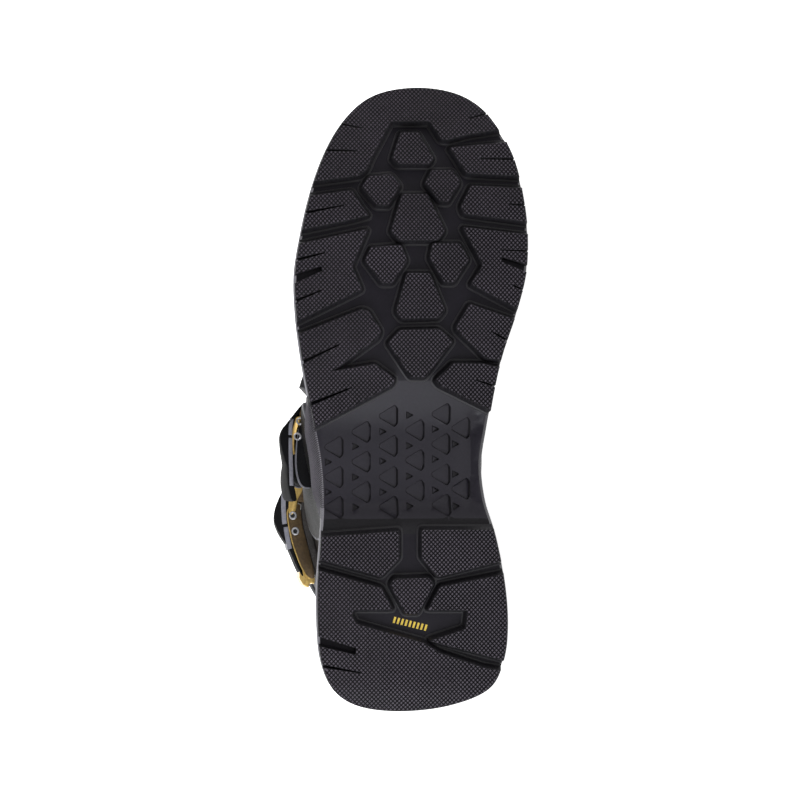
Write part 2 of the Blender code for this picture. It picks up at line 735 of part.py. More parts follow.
def shade(obj, finish):
    """Gives a piece its material and smooth faces that stay sharp at its edges."""
    obj.data.materials.append(principled(*finish))
    obj.data.shade_smooth()
    obj.data.set_sharp_from_angle(angle=math.radians(35))


def main():
    clear_scene()
    boot = new_collection("motorcycle_boot")
    cutters = new_collection("cutters", hidden=True)
    pieces = [(outsole(boot, cutters), RUBBER), (insole(boot), LINING)]
    pieces.append((shell("upper", -UPPER_WALL, 0.0, boot), LEATHER))
    pieces += [(piece, GUARD) for piece in guards(boot, cutters)]
    for name, ends in STRAPS.items():
        pieces += strap_set(name, ends, boot, cutters)
    pieces.append((pull_loop(boot), BAND))
    frame = bpy.data.objects.new("boot_frame", None)
    boot.objects.link(frame)
    for obj, finish in pieces:
        shade(obj, finish)
    lay_down(frame, [obj for obj, _ in pieces])
    for obj in (*(obj for obj, _ in pieces), *cutters.objects):
        obj.parent = frame


main()
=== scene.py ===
"""The looks of a tall motorcycle boot for the right foot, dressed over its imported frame.

The boot is worked out standing: +X is its outer side, +Y the toe, +Z up, the tread on z = 0 and the back
of the heel on y = 0. BootFrame then lays every point down as the frame lies. Lengths are metres unless a name
or a docstring says mm.
"""

import json
import logging
import math
from dataclasses import dataclass, field
from enum import Enum

import bmesh
import bpy
import numpy as np
from mathutils import Matrix, Vector
from mathutils.geometry import delaunay_2d_cdt

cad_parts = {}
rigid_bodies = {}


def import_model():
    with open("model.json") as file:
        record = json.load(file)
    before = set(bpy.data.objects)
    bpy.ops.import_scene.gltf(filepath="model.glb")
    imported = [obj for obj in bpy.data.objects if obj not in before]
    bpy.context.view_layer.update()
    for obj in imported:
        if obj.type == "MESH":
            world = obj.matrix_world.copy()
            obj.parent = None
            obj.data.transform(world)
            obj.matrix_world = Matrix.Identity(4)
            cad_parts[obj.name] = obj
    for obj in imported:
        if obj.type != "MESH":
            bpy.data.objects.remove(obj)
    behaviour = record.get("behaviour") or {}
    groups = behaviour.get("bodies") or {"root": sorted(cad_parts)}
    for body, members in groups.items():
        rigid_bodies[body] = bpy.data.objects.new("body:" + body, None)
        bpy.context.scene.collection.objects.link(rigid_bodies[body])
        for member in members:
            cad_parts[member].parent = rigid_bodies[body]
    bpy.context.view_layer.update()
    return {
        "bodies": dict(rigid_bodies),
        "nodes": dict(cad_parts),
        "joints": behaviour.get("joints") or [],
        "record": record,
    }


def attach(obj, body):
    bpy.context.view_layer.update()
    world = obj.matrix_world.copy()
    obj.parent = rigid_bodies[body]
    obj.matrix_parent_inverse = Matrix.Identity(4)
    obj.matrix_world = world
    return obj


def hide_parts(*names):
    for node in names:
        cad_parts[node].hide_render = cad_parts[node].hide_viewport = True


LOG = logging.getLogger("boot")
BODY = "root"
MM = 0.001
WELD = 2e-6
Line = tuple[tuple[float, float], ...]

# Rim of the sole in thousandths: place along the length, then outer and inner edge across the ball width
OUTLINE = (
    # along, outer, inner
    (0, 50, 50),
    (8, 223, -146),
    (34, 339, -318),
    (82, 400, -391),
    (146, 417, -409),
    (209, 417, -395),
    (274, 404, -361),
    (330, 395, -321),
    (393, 404, -304),
    (450, 430, -326),
    (498, 455, -348),
    (565, 487, -387),
    (628, 508, -443),
    (692, 513, -487),
    (755, 487, -495),
    (820, 447, -478),
    (885, 387, -438),
    (933, 318, -373),
    (964, 249, -309),
    (981, 189, -249),
    (990, 137, -198),
    (1000, -34, -34),
)

# Side of the sole: how far up from the bottom edge to the top edge, and how far in from the rim
SIDE_STEPS = (
    # rise, inset in metres
    (0.00, 0.0016),
    (0.05, 0.0006),
    (0.14, 0.0),
    (0.30, 0.0001),
    (0.44, 0.0005),
    (0.475, 0.0009),
    (0.50, 0.0020),
    (0.53, 0.0024),
    (0.60, 0.0024),
    (0.63, 0.0020),
    (0.655, 0.0009),
    (0.70, 0.0007),
    (0.82, 0.0008),
    (0.90, 0.0014),
    (0.96, 0.0027),
    (1.00, 0.0042),
)

# Loops of the foot. Rise from the feather edge to the instep, front and back along the sole length, and
# half widths in shares of the ball width towards the heel, in the middle and towards the toe
FOOT_SECTIONS = (
    # rise, front, back, heel, middle, toe
    (0.00, 0.977, 0.023, 0.340, 0.340, 0.430),
    (0.20, 0.975, 0.012, 0.340, 0.370, 0.430),
    (0.36, 0.955, 0.010, 0.335, 0.395, 0.425),
    (0.47, 0.905, 0.014, 0.330, 0.410, 0.415),
    (0.57, 0.825, 0.020, 0.330, 0.420, 0.405),
    (0.70, 0.730, 0.027, 0.335, 0.425, 0.395),
    (0.85, 0.655, 0.031, 0.340, 0.425, 0.380),
    (1.00, 0.600, 0.030, 0.350, 0.420, 0.370),
)

# Loops of the shaft. Rise from the instep to the collar, then as above, with widths of the collar width
SHAFT_SECTIONS = (
    # rise, front, back, heel, middle, toe
    (0.00, 0.600, 0.030, 0.340, 0.408, 0.359),
    (0.12, 0.545, 0.024, 0.360, 0.402, 0.368),
    (0.28, 0.513, 0.010, 0.390, 0.428, 0.392),
    (0.46, 0.498, -0.004, 0.420, 0.458, 0.418),
    (0.64, 0.494, -0.016, 0.442, 0.485, 0.440),
    (0.82, 0.497, -0.024, 0.456, 0.496, 0.454),
    (1.00, 0.505, -0.029, 0.462, 0.500, 0.462),
)

# Lugs that run out at the rim, as (across, along) in mm on the tread: first the corner at the rim towards the
# toe, last the corner at the rim towards the heel
OUTER_LUGS = {
    "outer_1": ((50.9, 256.5), (30.8, 259.7), (26.3, 252.2), (22.4, 247.3), (34.4, 244.2), (54.4, 239.5)),
    "outer_2": ((56.4, 232.5), (23, 240.3), (30.9, 221.9), (25.9, 210.5), (36.7, 205.1), (57.9, 194.1)),
    "outer_3": (
        (57.4, 187.8), (25.9, 200.7), (22.5, 199.7), (16.5, 189.9), (18, 186.4), (40.7, 169.9),
        (19.4, 173.6), (9.5, 166.2), (10.8, 163.3), (31.8, 151.8), (48.6, 142),
    ),
    "heel_outer": ((46.6, 88.3), (7.6, 91), (7.6, 77.3), (16.5, 68.4), (47.6, 77.6)),
}
INNER_LUGS = {
    "inner_1": ((-46.2, 285.5), (-18.4, 282.2), (-26.6, 269), (-51.6, 267.8)),
    "inner_2": ((-53.1, 261.6), (-28.6, 262.6), (-23.4, 252.2), (-24.8, 248.4), (-55.8, 244.4)),
    "inner_3": ((-54.8, 238), (-24.2, 241.7), (-34.2, 222.8), (-28.2, 213.3), (-50.1, 200.8)),
    "inner_4": ((-49.1, 195.5), (-27.7, 203.5), (-20.8, 192), (-22.2, 189.5), (-35.7, 176.7), (-43.3, 175.7)),
    "inner_5": (
        (-41.3, 171.8), (-33.8, 173.9), (-19.3, 174.1), (-10.8, 165.7), (-12.8, 163.3), (-36.5, 150.3),
    ),
    "heel_inner": ((-38.2, 91.3), (-3.8, 91.5), (-3.8, 77.6), (-11.8, 68.1), (-42.2, 75.9)),
    "heel_block": (
        (-42.7, 69.3), (-12.8, 63.1), (-6.7, 51.7), (-26.7, 51.5), (-25.7, 42.2), (-7.7, 36.5), (-42.7, 26.1),
    ),
}
# Lugs that wrap round an end of the sole, from rim corner to rim corner
TOE_LUG = (
    (48, 263.9), (27.4, 267.2), (23.5, 270.3), (20.5, 277.4), (11.9, 294.1), (10.9, 295.7), (-8.6, 296),
    (-14.3, 286.5), (-17, 286.2), (-28.3, 289.4), (-42.9, 292.2),
)
HEEL_LUG = (
    (48, 72), (16.5, 62.9), (10.6, 51.9), (30.4, 52.1), (30.9, 49.2), (28.8, 45.3), (-4.7, 35.5),
    (-12.6, 30.4), (-34.7, 22.8), (-41.7, 21.1),
)
MIDDLE_LUGS = {
    "middle_1": ((6.1, 290), (-2.5, 290.1), (-10.1, 276.6), (-7.7, 273.5), (7.7, 273.3), (10.6, 276.3)),
    "middle_2": ((22.3, 266.9), (11.3, 268.1), (6.8, 262.6), (12.8, 252.3), (18.4, 252.3), (25.8, 261.2)),
    "middle_3": ((-9, 270.3), (-19.6, 270.5), (-23.1, 264.4), (-16.9, 254.2), (-12.9, 254.6), (-5.6, 263.7)),
    "middle_4": ((5.9, 258), (-6.5, 258.1), (-15.3, 240.1), (-11.8, 235), (7.6, 234.9), (11.5, 239.5)),
    "middle_5": ((21.4, 231.3), (6.6, 232.4), (3.6, 225), (10.9, 213.7), (16, 213.6), (24.4, 224.9)),
    "middle_6": (
        (-9.3, 233.5), (-22.7, 233.6), (-27.2, 225.7), (-19.8, 214.2), (-14.8, 214.2), (-7.7, 226.6),
    ),
    "middle_7": ((3.6, 218.6), (-7.7, 218.6), (-15.2, 200.5), (-12.3, 196.6), (6.1, 195.9), (9, 199.8)),
    "middle_8": ((7, 190.4), (-12.3, 191), (-19.2, 185), (-5.5, 167.2), (1.5, 167.2), (12.9, 184)),
    "heel_middle": ((10, 67.3), (-7.3, 67.7), (-9.6, 64.7), (-1.8, 49.8), (4.1, 49.9), (11.9, 64.4)),
}

# Slots cut into the lugs from the rim, in mm: place of the mouth along the sole, then the inner end across
# and along, then the width at the mouth and at the inner end
SLOTS = {
    # mouth along, end across, end along, mouth width, end width
    "toe": ((294.1, 25.2, 291.8, 0.9, 0.5), (280.1, 28.3, 279.9, 1, 0.5), (-300.8, -28.6, 297.8, 0.9, 0.5)),
    "outer_1": ((248, 34.7, 252.1, 1.5, 0.5),),
    "outer_2": ((224.5, 44.1, 228.5, 1.6, 0.6), (215.1, 45.6, 220.7, 4.2, 2.3), (204.1, 45.6, 210, 1.6, 0.6)),
    "outer_3": ((174, 36.7, 183.4, 1.9, 0.6), (153.3, 30.8, 162, 2, 0.6)),
    "inner_1": ((276.5, -33.4, 276.7, 1, 0.4),),
    "inner_2": ((252.9, -46.9, 253.4, 0.9, 0.4),),
    "inner_3": (
        (229.9, -43.6, 230.4, 1, 0.4), (221, -43.6, 225.8, 3.8, 2.2), (210.3, -48.1, 213.4, 1.2, 0.5),
    ),
    "inner_4": ((184.9, -38.2, 190.1, 1.3, 0.5),),
    "inner_5": ((162.3, -30.9, 165.8, 1.2, 0.5),),
    "heel": ((37.1, 28.8, 31.6, 4.5, 3.2), (24.9, 26.4, 21.1, 1.5, 0.6)),
}

# Columns of dimples under the arch, in mm: where the flat sides of the large ones stand, then the places of
# the large and of the small ones along the sole
DIMPLES = (
    # across, along of the large ones, along of the small ones
    (34.6, (132.1, 117, 102.1), (124.6, 109.5)),
    (20.9, (139.7, 124.7, 109.4), (132.4, 116.9, 102)),
    (7.1, (147.8, 132.6, 116.9, 102), (139.9, 125, 109.4)),
    (-6.3, (140.6, 125.4, 110.1), (148.2, 132.7, 117.3, 102.4)),
    (-19.5, (148.7, 133.5, 118.1, 102.8), (141.1, 125.9, 110.2)),
    (-29.7, (141.6, 126.2, 110.8), (133.5, 118.3, 102.3)),
)

# Creases of the upper seen from the side: a line in mm, its side, how deep in mm and how wide in mm
CREASES = (
    # along, up, to along, to up, side, depth, width
    (196, 100, 128, 108, 0, 1.5, 4.2),
    (188, 116, 118, 121, 0, 1.8, 4.6),
    (176, 134, 112, 134, 0, 1.5, 4.4),
    (168, 152, 124, 149, 0, 1.0, 4.0),
    (2, 112, 44, 118, 0, 1.2, 4.0),
    (0, 128, 50, 131, 0, 1.4, 4.4),
    (-2, 146, 42, 146, 0, 0.9, 4.0),
    (236, 66, 214, 40, 0, 0.9, 4.0),
    (226, 74, 204, 46, 0, 0.7, 3.6),
    (96, 212, 40, 232, 1, 0.9, 7.0),
    (120, 262, 52, 246, -1, 0.8, 7.0),
    (60, 170, 104, 186, 1, 0.8, 6.0),
)

class Side(Enum):
    """A side of the boot."""

    OUTER = 1
    INNER = -1


@dataclass(frozen=True)
class StrapPlan:
    """One strap and its buckle.

    Rear end of the buckle and front of the strap are seen from the side, in shares of length and height. The
    profiles are in mm: along the strap from the rear end, and up from the upper. Raised is how far off the
    upper the strap starts, and skew how far the buckle leans forward per mm across.
    """

    rear: tuple[float, float]
    front: tuple[float, float]
    raised: float
    skew: float
    pins: Line
    base: Line
    edge: Line
    lever: Line
    heart: Line
    cover: Line
    # Pale strips along the cover's lower edge, a painted highlight, and their half width in mm.
    strips: tuple[Line, ...]
    strip_half: float
    clip: Line = ()
    pad: Line = ()


STRAPS = {
    "instep": StrapPlan(
        rear=(0.315, 0.232), front=(0.640, 0.335), raised=0.0, skew=0.28, pins=((43.0, 3.4), (34.5, 5.4)),
        base=((46, 0.8), (38.5, 4.7), (29, 6.8), (20, 8.9), (14.7, 9.6), (9.5, 9.4), (6.4, 7.6), (5.7, 4.5),
              (7, 1.4), (14, 0.6), (44, 0.4)),
        edge=((38.5, 4.7), (29, 6.8), (20, 8.9), (14.7, 9.6), (9.5, 9.4), (6.4, 7.6), (5.7, 4.5)),
        lever=((46, 2.6), (45.6, 5.6), (38, 7.9), (31, 9.0), (25, 9.3), (25, 8.0), (31, 7.2), (36.5, 5.6),
               (41, 3.4)),
        heart=((44, 0.9), (52, 0.9), (52, 2.6), (47, 4.0), (43.5, 3.0)),
        cover=((54, 2.0), (51.5, 3.8), (45, 8.4), (38.5, 13.6), (35, 15.0), (32, 15.2), (26, 14.7),
               (19, 13.8), (14, 14.9), (9, 15.7), (2, 15.8), (0.5, 15), (0.5, 12.9), (9, 12.4), (14, 11.5),
               (20, 10.6), (28, 9.4), (36, 8.2), (44, 6.6), (49, 3.4), (53, 1.4)),
        strips=(((44.5, 8.0), (40, 8.7), (35.5, 9.2)), ((34, 9.2), (26.5, 10.4), (18.5, 11.9), (9, 13.9))),
        strip_half=1.1,
    ),
    "ankle": StrapPlan(
        rear=(0.160, 0.425), front=(0.540, 0.475), raised=4.5, skew=0.0, pins=((36.0, 10.4), (27.6, 10.0)),
        base=((39, 5.6), (29, 5.2), (21, 4.6), (13, 4.5), (3, 5.2), (0, 6.5), (2, 9.8), (9, 11.7),
              (15, 12.3), (22.5, 13.0), (31.6, 13.5), (38, 13.8), (40.6, 12.2), (41, 8)),
        edge=((1.2, 9.0), (3, 10.4), (9, 11.7), (15, 12.3), (22.5, 13.0), (31.6, 13.5), (38, 13.8),
              (40.6, 12.2)),
        lever=((38.5, 8.4), (44.5, 7.4), (49, 5.0), (53, 4.6), (58, 9.0), (52, 10.6), (46, 12.7),
               (37.0, 13.0), (36.4, 10.4)),
        heart=((43, 3.0), (54, 2.6), (55.5, 5.6), (50, 7.2), (43.5, 7.6)),
        cover=((55, 13.4), (50.5, 15.6), (46, 18.2), (40.3, 20.9), (36, 21.7), (33, 21.6), (28.5, 20.0),
               (25, 18.2), (21.5, 16.3), (15, 14.8), (9, 13.9), (4, 13.0), (3, 11.9), (9, 12.2), (15, 12.8),
               (22.5, 13.5), (31, 14.0), (38, 14.2), (46, 14.2), (51, 13.8), (54.6, 12.2)),
        strips=(((52, 16.0), (42, 15.8), (32, 15.7)), ((30.5, 15.2), (25, 15.2), (19, 15.2))),
        strip_half=1.4,
        clip=((7, 11.0), (6.4, 13.4), (3, 14.6), (-1, 13.8), (-3.2, 11.5), (-1.2, 9.8), (-2.4, 7.4),
              (0.5, 6.0), (4.5, 6.8), (2.4, 9.2)),
        pad=((-3, 0.25), (56, 0.25), (56, 3.4), (44, 4.8), (39, 5.4), (29, 5.0), (21, 4.4), (13, 4.3),
             (3, 4.4), (-2, 2.8)),
    ),
    "shin": StrapPlan(
        rear=(0.165, 0.655), front=(0.500, 0.700), raised=0.0, skew=0.0, pins=((36.0, 3.6), (28.0, 3.6)),
        base=((41, 0.6), (1.5, 0.6), (0, 1.6), (2, 4.9), (8, 6.2), (38, 6.5), (41, 4.4)),
        edge=((0.6, 2.6), (2, 4.9), (8, 6.2), (38, 6.5), (41, 4.4)),
        lever=((38.5, 2.4), (44.5, 1.4), (49, 0.9), (54, 1.0), (58, 3.4), (52, 4.9), (46, 6.2), (37.0, 6.6),
               (36.4, 4.4)),
        heart=((43, 0.5), (54, 0.5), (54, 1.8), (50, 2.6), (43.5, 2.6)),
        cover=((57, 6.4), (50, 8.8), (44, 10.3), (38, 10.8), (32, 10.3), (26, 8.9), (19, 6.9), (19.5, 6.4),
               (28, 7.0), (38, 7.2), (46, 7.0), (56, 5.8)),
        strips=(((52, 7.9), (39, 8.3)), ((37, 8.3), (27, 7.9))), strip_half=0.6,
        clip=((6, 4.8), (5.4, 6.8), (2, 7.6), (-2, 6.8), (-4, 4.7), (-2.2, 3.2), (-3, 1.4), (0, 0.6),
              (3.6, 1.2), (1.6, 3.2)),
    ),
}


class Edge(Enum):
    """What an edge of a lug's outline borders on."""

    WALL = 0
    RIM = 1
    SLOT = 2


class Grain(Enum):
    """How a finish's surface is broken up."""

    PLAIN = "plain"
    RUBBER = "rubber"
    LEATHER = "leather"
    CLOTH = "cloth"
    BRUSHED = "brushed"


@dataclass(frozen=True)
class Finish:
    """One surface finish.

    Its colour and roughness wander between two values by noise, and a bump by its grain gives the touch.
    """

    name: str
    colour: tuple[float, float, float]
    worn: tuple[float, float, float]
    roughness: float
    rougher: float
    grain: Grain = Grain.PLAIN
    scale: float = 600.0
    bump: float = 0.2
    metallic: float = 0.0
    specular: float = 0.5
    coat: float = 0.0
    sheen: float = 0.0

    def build(self) -> bpy.types.Material:
        """Makes the material.

        Returns:
            The material, with Object coordinates for every pattern.
        """
        material = bpy.data.materials.new(self.name)
        material.use_nodes = True
        tree = material.node_tree
        shader = tree.nodes["Principled BSDF"]
        shader.inputs["Metallic"].default_value = self.metallic
        shader.inputs["Specular IOR Level"].default_value = self.specular
        shader.inputs["Coat Weight"].default_value = self.coat
        shader.inputs["Coat Roughness"].default_value = 0.25
        shader.inputs["Sheen Weight"].default_value = self.sheen
        place = tree.nodes.new("ShaderNodeTexCoord")
        cloud = self._noise(tree, place, 34.0, 6.0)
        speck = self._noise(tree, place, self.scale, 3.0)
        shares = self._mixed(tree, cloud, speck)
        colour = tree.nodes.new("ShaderNodeMix")
        colour.data_type = "RGBA"
        colour.inputs["A"].default_value = (*self.colour, 1.0)
        colour.inputs["B"].default_value = (*self.worn, 1.0)
        tree.links.new(shares, colour.inputs["Factor"])
        tree.links.new(colour.outputs["Result"], shader.inputs["Base Color"])
        rough = tree.nodes.new("ShaderNodeMapRange")
        rough.inputs["To Min"].default_value = self.roughness
        rough.inputs["To Max"].default_value = self.rougher
        tree.links.new(cloud, rough.inputs["Value"])
        tree.links.new(rough.outputs["Result"], shader.inputs["Roughness"])
        relief = self._relief(tree, place, speck)
        bump = tree.nodes.new("ShaderNodeBump")
        bump.inputs["Strength"].default_value = self.bump
        bump.inputs["Distance"].default_value = 0.0006
        tree.links.new(relief, bump.inputs["Height"])
        tree.links.new(bump.outputs["Normal"], shader.inputs["Normal"])
        return material

    @staticmethod
    def _noise(tree: bpy.types.NodeTree, place: bpy.types.Node, scale: float,
               detail: float) -> bpy.types.NodeSocket:
        """A noise texture's value on Object coordinates."""
        noise = tree.nodes.new("ShaderNodeTexNoise")
        noise.inputs["Scale"].default_value = scale
        noise.inputs["Detail"].default_value = detail
        tree.links.new(place.outputs["Object"], noise.inputs["Vector"])
        return noise.outputs["Fac"]

    @staticmethod
    def _mixed(tree: bpy.types.NodeTree, cloud: bpy.types.NodeSocket,
               speck: bpy.types.NodeSocket) -> bpy.types.NodeSocket:
        """The product of a wide and a fine noise, spread over 0 to 1."""
        product = tree.nodes.new("ShaderNodeMath")
        product.operation = "MULTIPLY"
        tree.links.new(cloud, product.inputs[0])
        tree.links.new(speck, product.inputs[1])
        spread = tree.nodes.new("ShaderNodeMapRange")
        spread.inputs["From Min"].default_value = 0.14
        spread.inputs["From Max"].default_value = 0.42
        tree.links.new(product.outputs["Value"], spread.inputs["Value"])
        return spread.outputs["Result"]

    def _relief(self, tree: bpy.types.NodeTree, place: bpy.types.Node,
                speck: bpy.types.NodeSocket) -> bpy.types.NodeSocket:
        """The height that the bump reads, by the finish's grain."""
        if self.grain is Grain.LEATHER:
            cells = tree.nodes.new("ShaderNodeTexVoronoi")
            cells.feature = "DISTANCE_TO_EDGE"
            cells.inputs["Scale"].default_value = self.scale
            tree.links.new(place.outputs["Object"], cells.inputs["Vector"])
            domed = tree.nodes.new("ShaderNodeMapRange")
            domed.inputs["From Max"].default_value = 0.28
            tree.links.new(cells.outputs["Distance"], domed.inputs["Value"])
            return domed.outputs["Result"]
        if self.grain is Grain.CLOTH:
            waves = []
            for direction in ("X", "Y", "Z"):
                wave = tree.nodes.new("ShaderNodeTexWave")
                wave.bands_direction = direction
                wave.inputs["Scale"].default_value = self.scale
                wave.inputs["Distortion"].default_value = 0.6
                tree.links.new(place.outputs["Object"], wave.inputs["Vector"])
                waves.append(wave.outputs["Fac"])
            total = waves[0]
            for wave_out in waves[1:]:
                add = tree.nodes.new("ShaderNodeMath")
                add.operation = "ADD"
                tree.links.new(total, add.inputs[0])
                tree.links.new(wave_out, add.inputs[1])
                total = add.outputs["Value"]
            return total
        if self.grain is Grain.BRUSHED:
            turn = tree.nodes.new("ShaderNodeMapping")
            turn.inputs["Scale"].default_value = (0.06, 1.0, 1.0)
            tree.links.new(place.outputs["Object"], turn.inputs["Vector"])
            streak = tree.nodes.new("ShaderNodeTexNoise")
            streak.inputs["Scale"].default_value = self.scale * 2.0
            tree.links.new(turn.outputs["Vector"], streak.inputs["Vector"])
            return streak.outputs["Fac"]
        return speck


RUBBER = Finish("tread rubber", (0.028, 0.0228, 0.031), (0.050, 0.041, 0.055), 0.5, 0.68,
                Grain.RUBBER, 900.0, 0.12, specular=0.4)
# Darkened copy of the tread rubber for the knurl grooves, the dimple walls and the heel breast: painted shade
# in the grooves and on faces turned from the light.
GROOVE_SHADE_RUBBER = Finish("groove painted shade rubber", (0.0045, 0.004, 0.0052), (0.008, 0.0072, 0.009), 0.6, 0.75,
                       Grain.RUBBER, 900.0, 0.1, specular=0.2)
# Darkened copy of the tread rubber for the lugs' walls: painted shade that falls on the walls between the
# lugs.
WALL_SHADE_RUBBER = Finish("lug wall painted shade rubber", (0.006, 0.0055, 0.0068), (0.010, 0.009, 0.0115), 0.45, 0.6,
                     Grain.RUBBER, 1200.0, 0.08, specular=0.3)
SIDE_RUBBER = Finish("side rubber", (0.020, 0.0185, 0.0225), (0.032, 0.030, 0.036), 0.36, 0.5,
                     Grain.RUBBER, 1200.0, 0.1, specular=0.5)
# Darkened copies of the tread rubber for the floor between the lugs and, a little lighter, under the arch:
# painted shade in the recessed floor.
FLOOR_SHADE_RUBBER = Finish("floor painted shade rubber", (0.0046, 0.0036, 0.0064), (0.0068, 0.0054, 0.0092), 0.42, 0.55,
                     Grain.RUBBER, 700.0, 0.05, specular=0.14)
ARCH_SHADE_RUBBER = Finish("arch painted shade rubber", (0.0078, 0.0066, 0.0108), (0.0112, 0.0095, 0.0150), 0.42, 0.55,
                     Grain.RUBBER, 700.0, 0.05, specular=0.24)
# Pale copy of the side rubber for the ribs on the outer waist: painted highlight of the light that falls on
# that side.
RIB_HIGHLIGHT_RUBBER = Finish("ribbed rubber painted highlight", (0.21, 0.20, 0.225), (0.29, 0.275, 0.31), 0.4, 0.55,
                    Grain.RUBBER, 1200.0, 0.08, specular=0.5)
# Pale copy of the side rubber for the lowest band of the outer side: painted highlight line along the rim.
RIM_HIGHLIGHT_RUBBER = Finish("rim painted highlight rubber", (0.22, 0.215, 0.24), (0.32, 0.31, 0.34), 0.4, 0.55,
                     Grain.RUBBER, 1200.0, 0.08, specular=0.5)
YELLOW = Finish("yellow paint", (0.62, 0.44, 0.03), (0.48, 0.33, 0.03), 0.45, 0.6, Grain.RUBBER, 900.0, 0.05)
LEATHER = Finish("shaft leather", (0.020, 0.017, 0.015), (0.034, 0.029, 0.026), 0.5, 0.66,
                 Grain.LEATHER, 900.0, 0.35, specular=0.4)
GUARD = Finish("guard plastic", (0.010, 0.0097, 0.0095), (0.018, 0.0175, 0.017), 0.45, 0.6,
               Grain.RUBBER, 1500.0, 0.18, specular=0.25)
PIPING = Finish("grey piping", (0.16, 0.16, 0.18), (0.24, 0.24, 0.27), 0.4, 0.55, Grain.RUBBER, 800.0, 0.1)
CLOTH = Finish("collar cloth", (0.014, 0.013, 0.014), (0.026, 0.025, 0.027), 0.82, 0.95,
               Grain.CLOTH, 420.0, 0.5, specular=0.2, sheen=0.4)
LINING = Finish("lining cloth", (0.045, 0.045, 0.05), (0.07, 0.07, 0.078), 0.85, 0.95,
                Grain.CLOTH, 360.0, 0.4, specular=0.2, sheen=0.3)
BAND = Finish("strap plastic", (0.013, 0.013, 0.015), (0.024, 0.024, 0.027), 0.36, 0.5,
              Grain.RUBBER, 1100.0, 0.15, specular=0.5)
# Pale grey for the strips along the buckle covers' rounded lower edge: painted highlight of that edge.
EDGE_HIGHLIGHT_STRIP = Finish("grey painted highlight strip", (0.20, 0.20, 0.23), (0.30, 0.30, 0.34), 0.35, 0.5, Grain.RUBBER, 700.0, 0.1)
GOLD = Finish("buckle gold", (0.86, 0.60, 0.20), (0.58, 0.38, 0.11), 0.2, 0.36,
              Grain.BRUSHED, 700.0, 0.12, metallic=0.6)
BRONZE = Finish("buckle bronze", (0.070, 0.045, 0.022), (0.13, 0.085, 0.038), 0.42, 0.6,
                Grain.BRUSHED, 600.0, 0.3, metallic=0.55)
STEEL = Finish("pin steel", (0.72, 0.72, 0.74), (0.55, 0.55, 0.58), 0.16, 0.3,
               Grain.BRUSHED, 900.0, 0.1, metallic=0.6)
COVER = Finish("cover plastic", (0.005, 0.005, 0.0055), (0.009, 0.009, 0.010), 0.6, 0.75,
               Grain.RUBBER, 1500.0, 0.15, specular=0.1)
GRIP = Finish("grip rubber", (0.013, 0.012, 0.013), (0.022, 0.021, 0.023), 0.5, 0.66,
              Grain.RUBBER, 800.0, 0.2, specular=0.4)
# Near black for the caps that close the pins' shallow bores: painted shade inside the bore.
BORE_SHADE = Finish("pin bore painted shade", (0.006, 0.006, 0.006), (0.01, 0.01, 0.01), 0.6, 0.8)


def hermite(knots: np.ndarray, values: np.ndarray, at: np.ndarray) -> np.ndarray:
    """A smooth curve through the values.

    Each span is the cubic with the values at its ends and slopes taken from the neighbouring knots.

    Args:
        knots: Increasing places of the values.
        values: The values there.
        at: Where the curve is read.

    Returns:
        The curve's values.
    """
    knots, values, at = (np.asarray(item, float) for item in (knots, values, at))
    slopes = np.gradient(values, knots)
    at = np.clip(at, knots[0], knots[-1])
    span = np.clip(np.searchsorted(knots, at, side="right") - 1, 0, len(knots) - 2)
    width = knots[span + 1] - knots[span]
    share = (at - knots[span]) / width
    square, cube = share**2, share**3
    return (
        values[span] * (2 * cube - 3 * square + 1)
        + slopes[span] * width * (cube - 2 * square + share)
        + values[span + 1] * (3 * square - 2 * cube)
        + slopes[span + 1] * width * (cube - square)
    )


def ramp(low: float, high: float, at: np.ndarray) -> np.ndarray:
    """0 below low, 1 above high and an even S between them."""
    share = np.clip((np.asarray(at, float) - low) / (high - low), 0.0, 1.0)
    return share * share * (3.0 - 2.0 * share)


def turn_of(share: np.ndarray) -> np.ndarray:
    """The share of a half turn whose cosine spacing gives this share of the length."""
    return np.arccos(np.clip(1.0 - 2.0 * np.asarray(share, float), -1.0, 1.0)) / math.pi


def unit(vectors: np.ndarray) -> np.ndarray:
    """Vectors along the last axis, each scaled to length one."""
    return vectors / np.maximum(np.linalg.norm(vectors, axis=-1, keepdims=True), 1e-12)


@dataclass(frozen=True)
class BootFrame:
    """Where the standing boot's axes lie in the frame, worked out from the record's mount under the heel."""

    mount_across: float = 0.012
    mount_along: float = 0.026

    def axes(self, record: dict) -> tuple[np.ndarray, np.ndarray]:
        """The turn and the shift that lay the boot down.

        Up is against the mount's axis. The toe's direction is square to it with no X in the frame, and the
        outer side is the cross product of the two.

        Args:
            record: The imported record.

        Returns:
            A 3 x 3 matrix whose columns are the boot's axes, and the place of the boot's origin.
        """
        mount = record["mounts"][0]
        up = -unit(np.array(mount["axis"], float))
        along = unit(np.array((0.0, up[2], -up[1])))
        turn = np.column_stack([np.cross(along, up), along, up])
        shift = np.array(mount["pos_m"], float) - turn @ np.array((self.mount_across, self.mount_along, 0.0))
        return turn, shift


@dataclass
class Shape:
    """Points and faces of a mesh in the making, in the standing boot's axes, with its finish's number."""

    points: np.ndarray
    faces: list[tuple[int, ...]]
    finish: int = 0

    @staticmethod
    def joined(shapes: "list[Shape]") -> "tuple[np.ndarray, list[tuple[int, ...]], list[int]]":
        """Strings shapes together.

        Args:
            shapes: The shapes.

        Returns:
            All points, all faces, and the finish number of each face.
        """
        points, faces, finishes, first = [], [], [], 0
        for shape in shapes:
            points.append(shape.points.reshape(-1, 3))
            faces += [tuple(corner + first for corner in face) for face in shape.faces]
            finishes += [shape.finish] * len(shape.faces)
            first += len(points[-1])
        return np.concatenate(points), faces, finishes


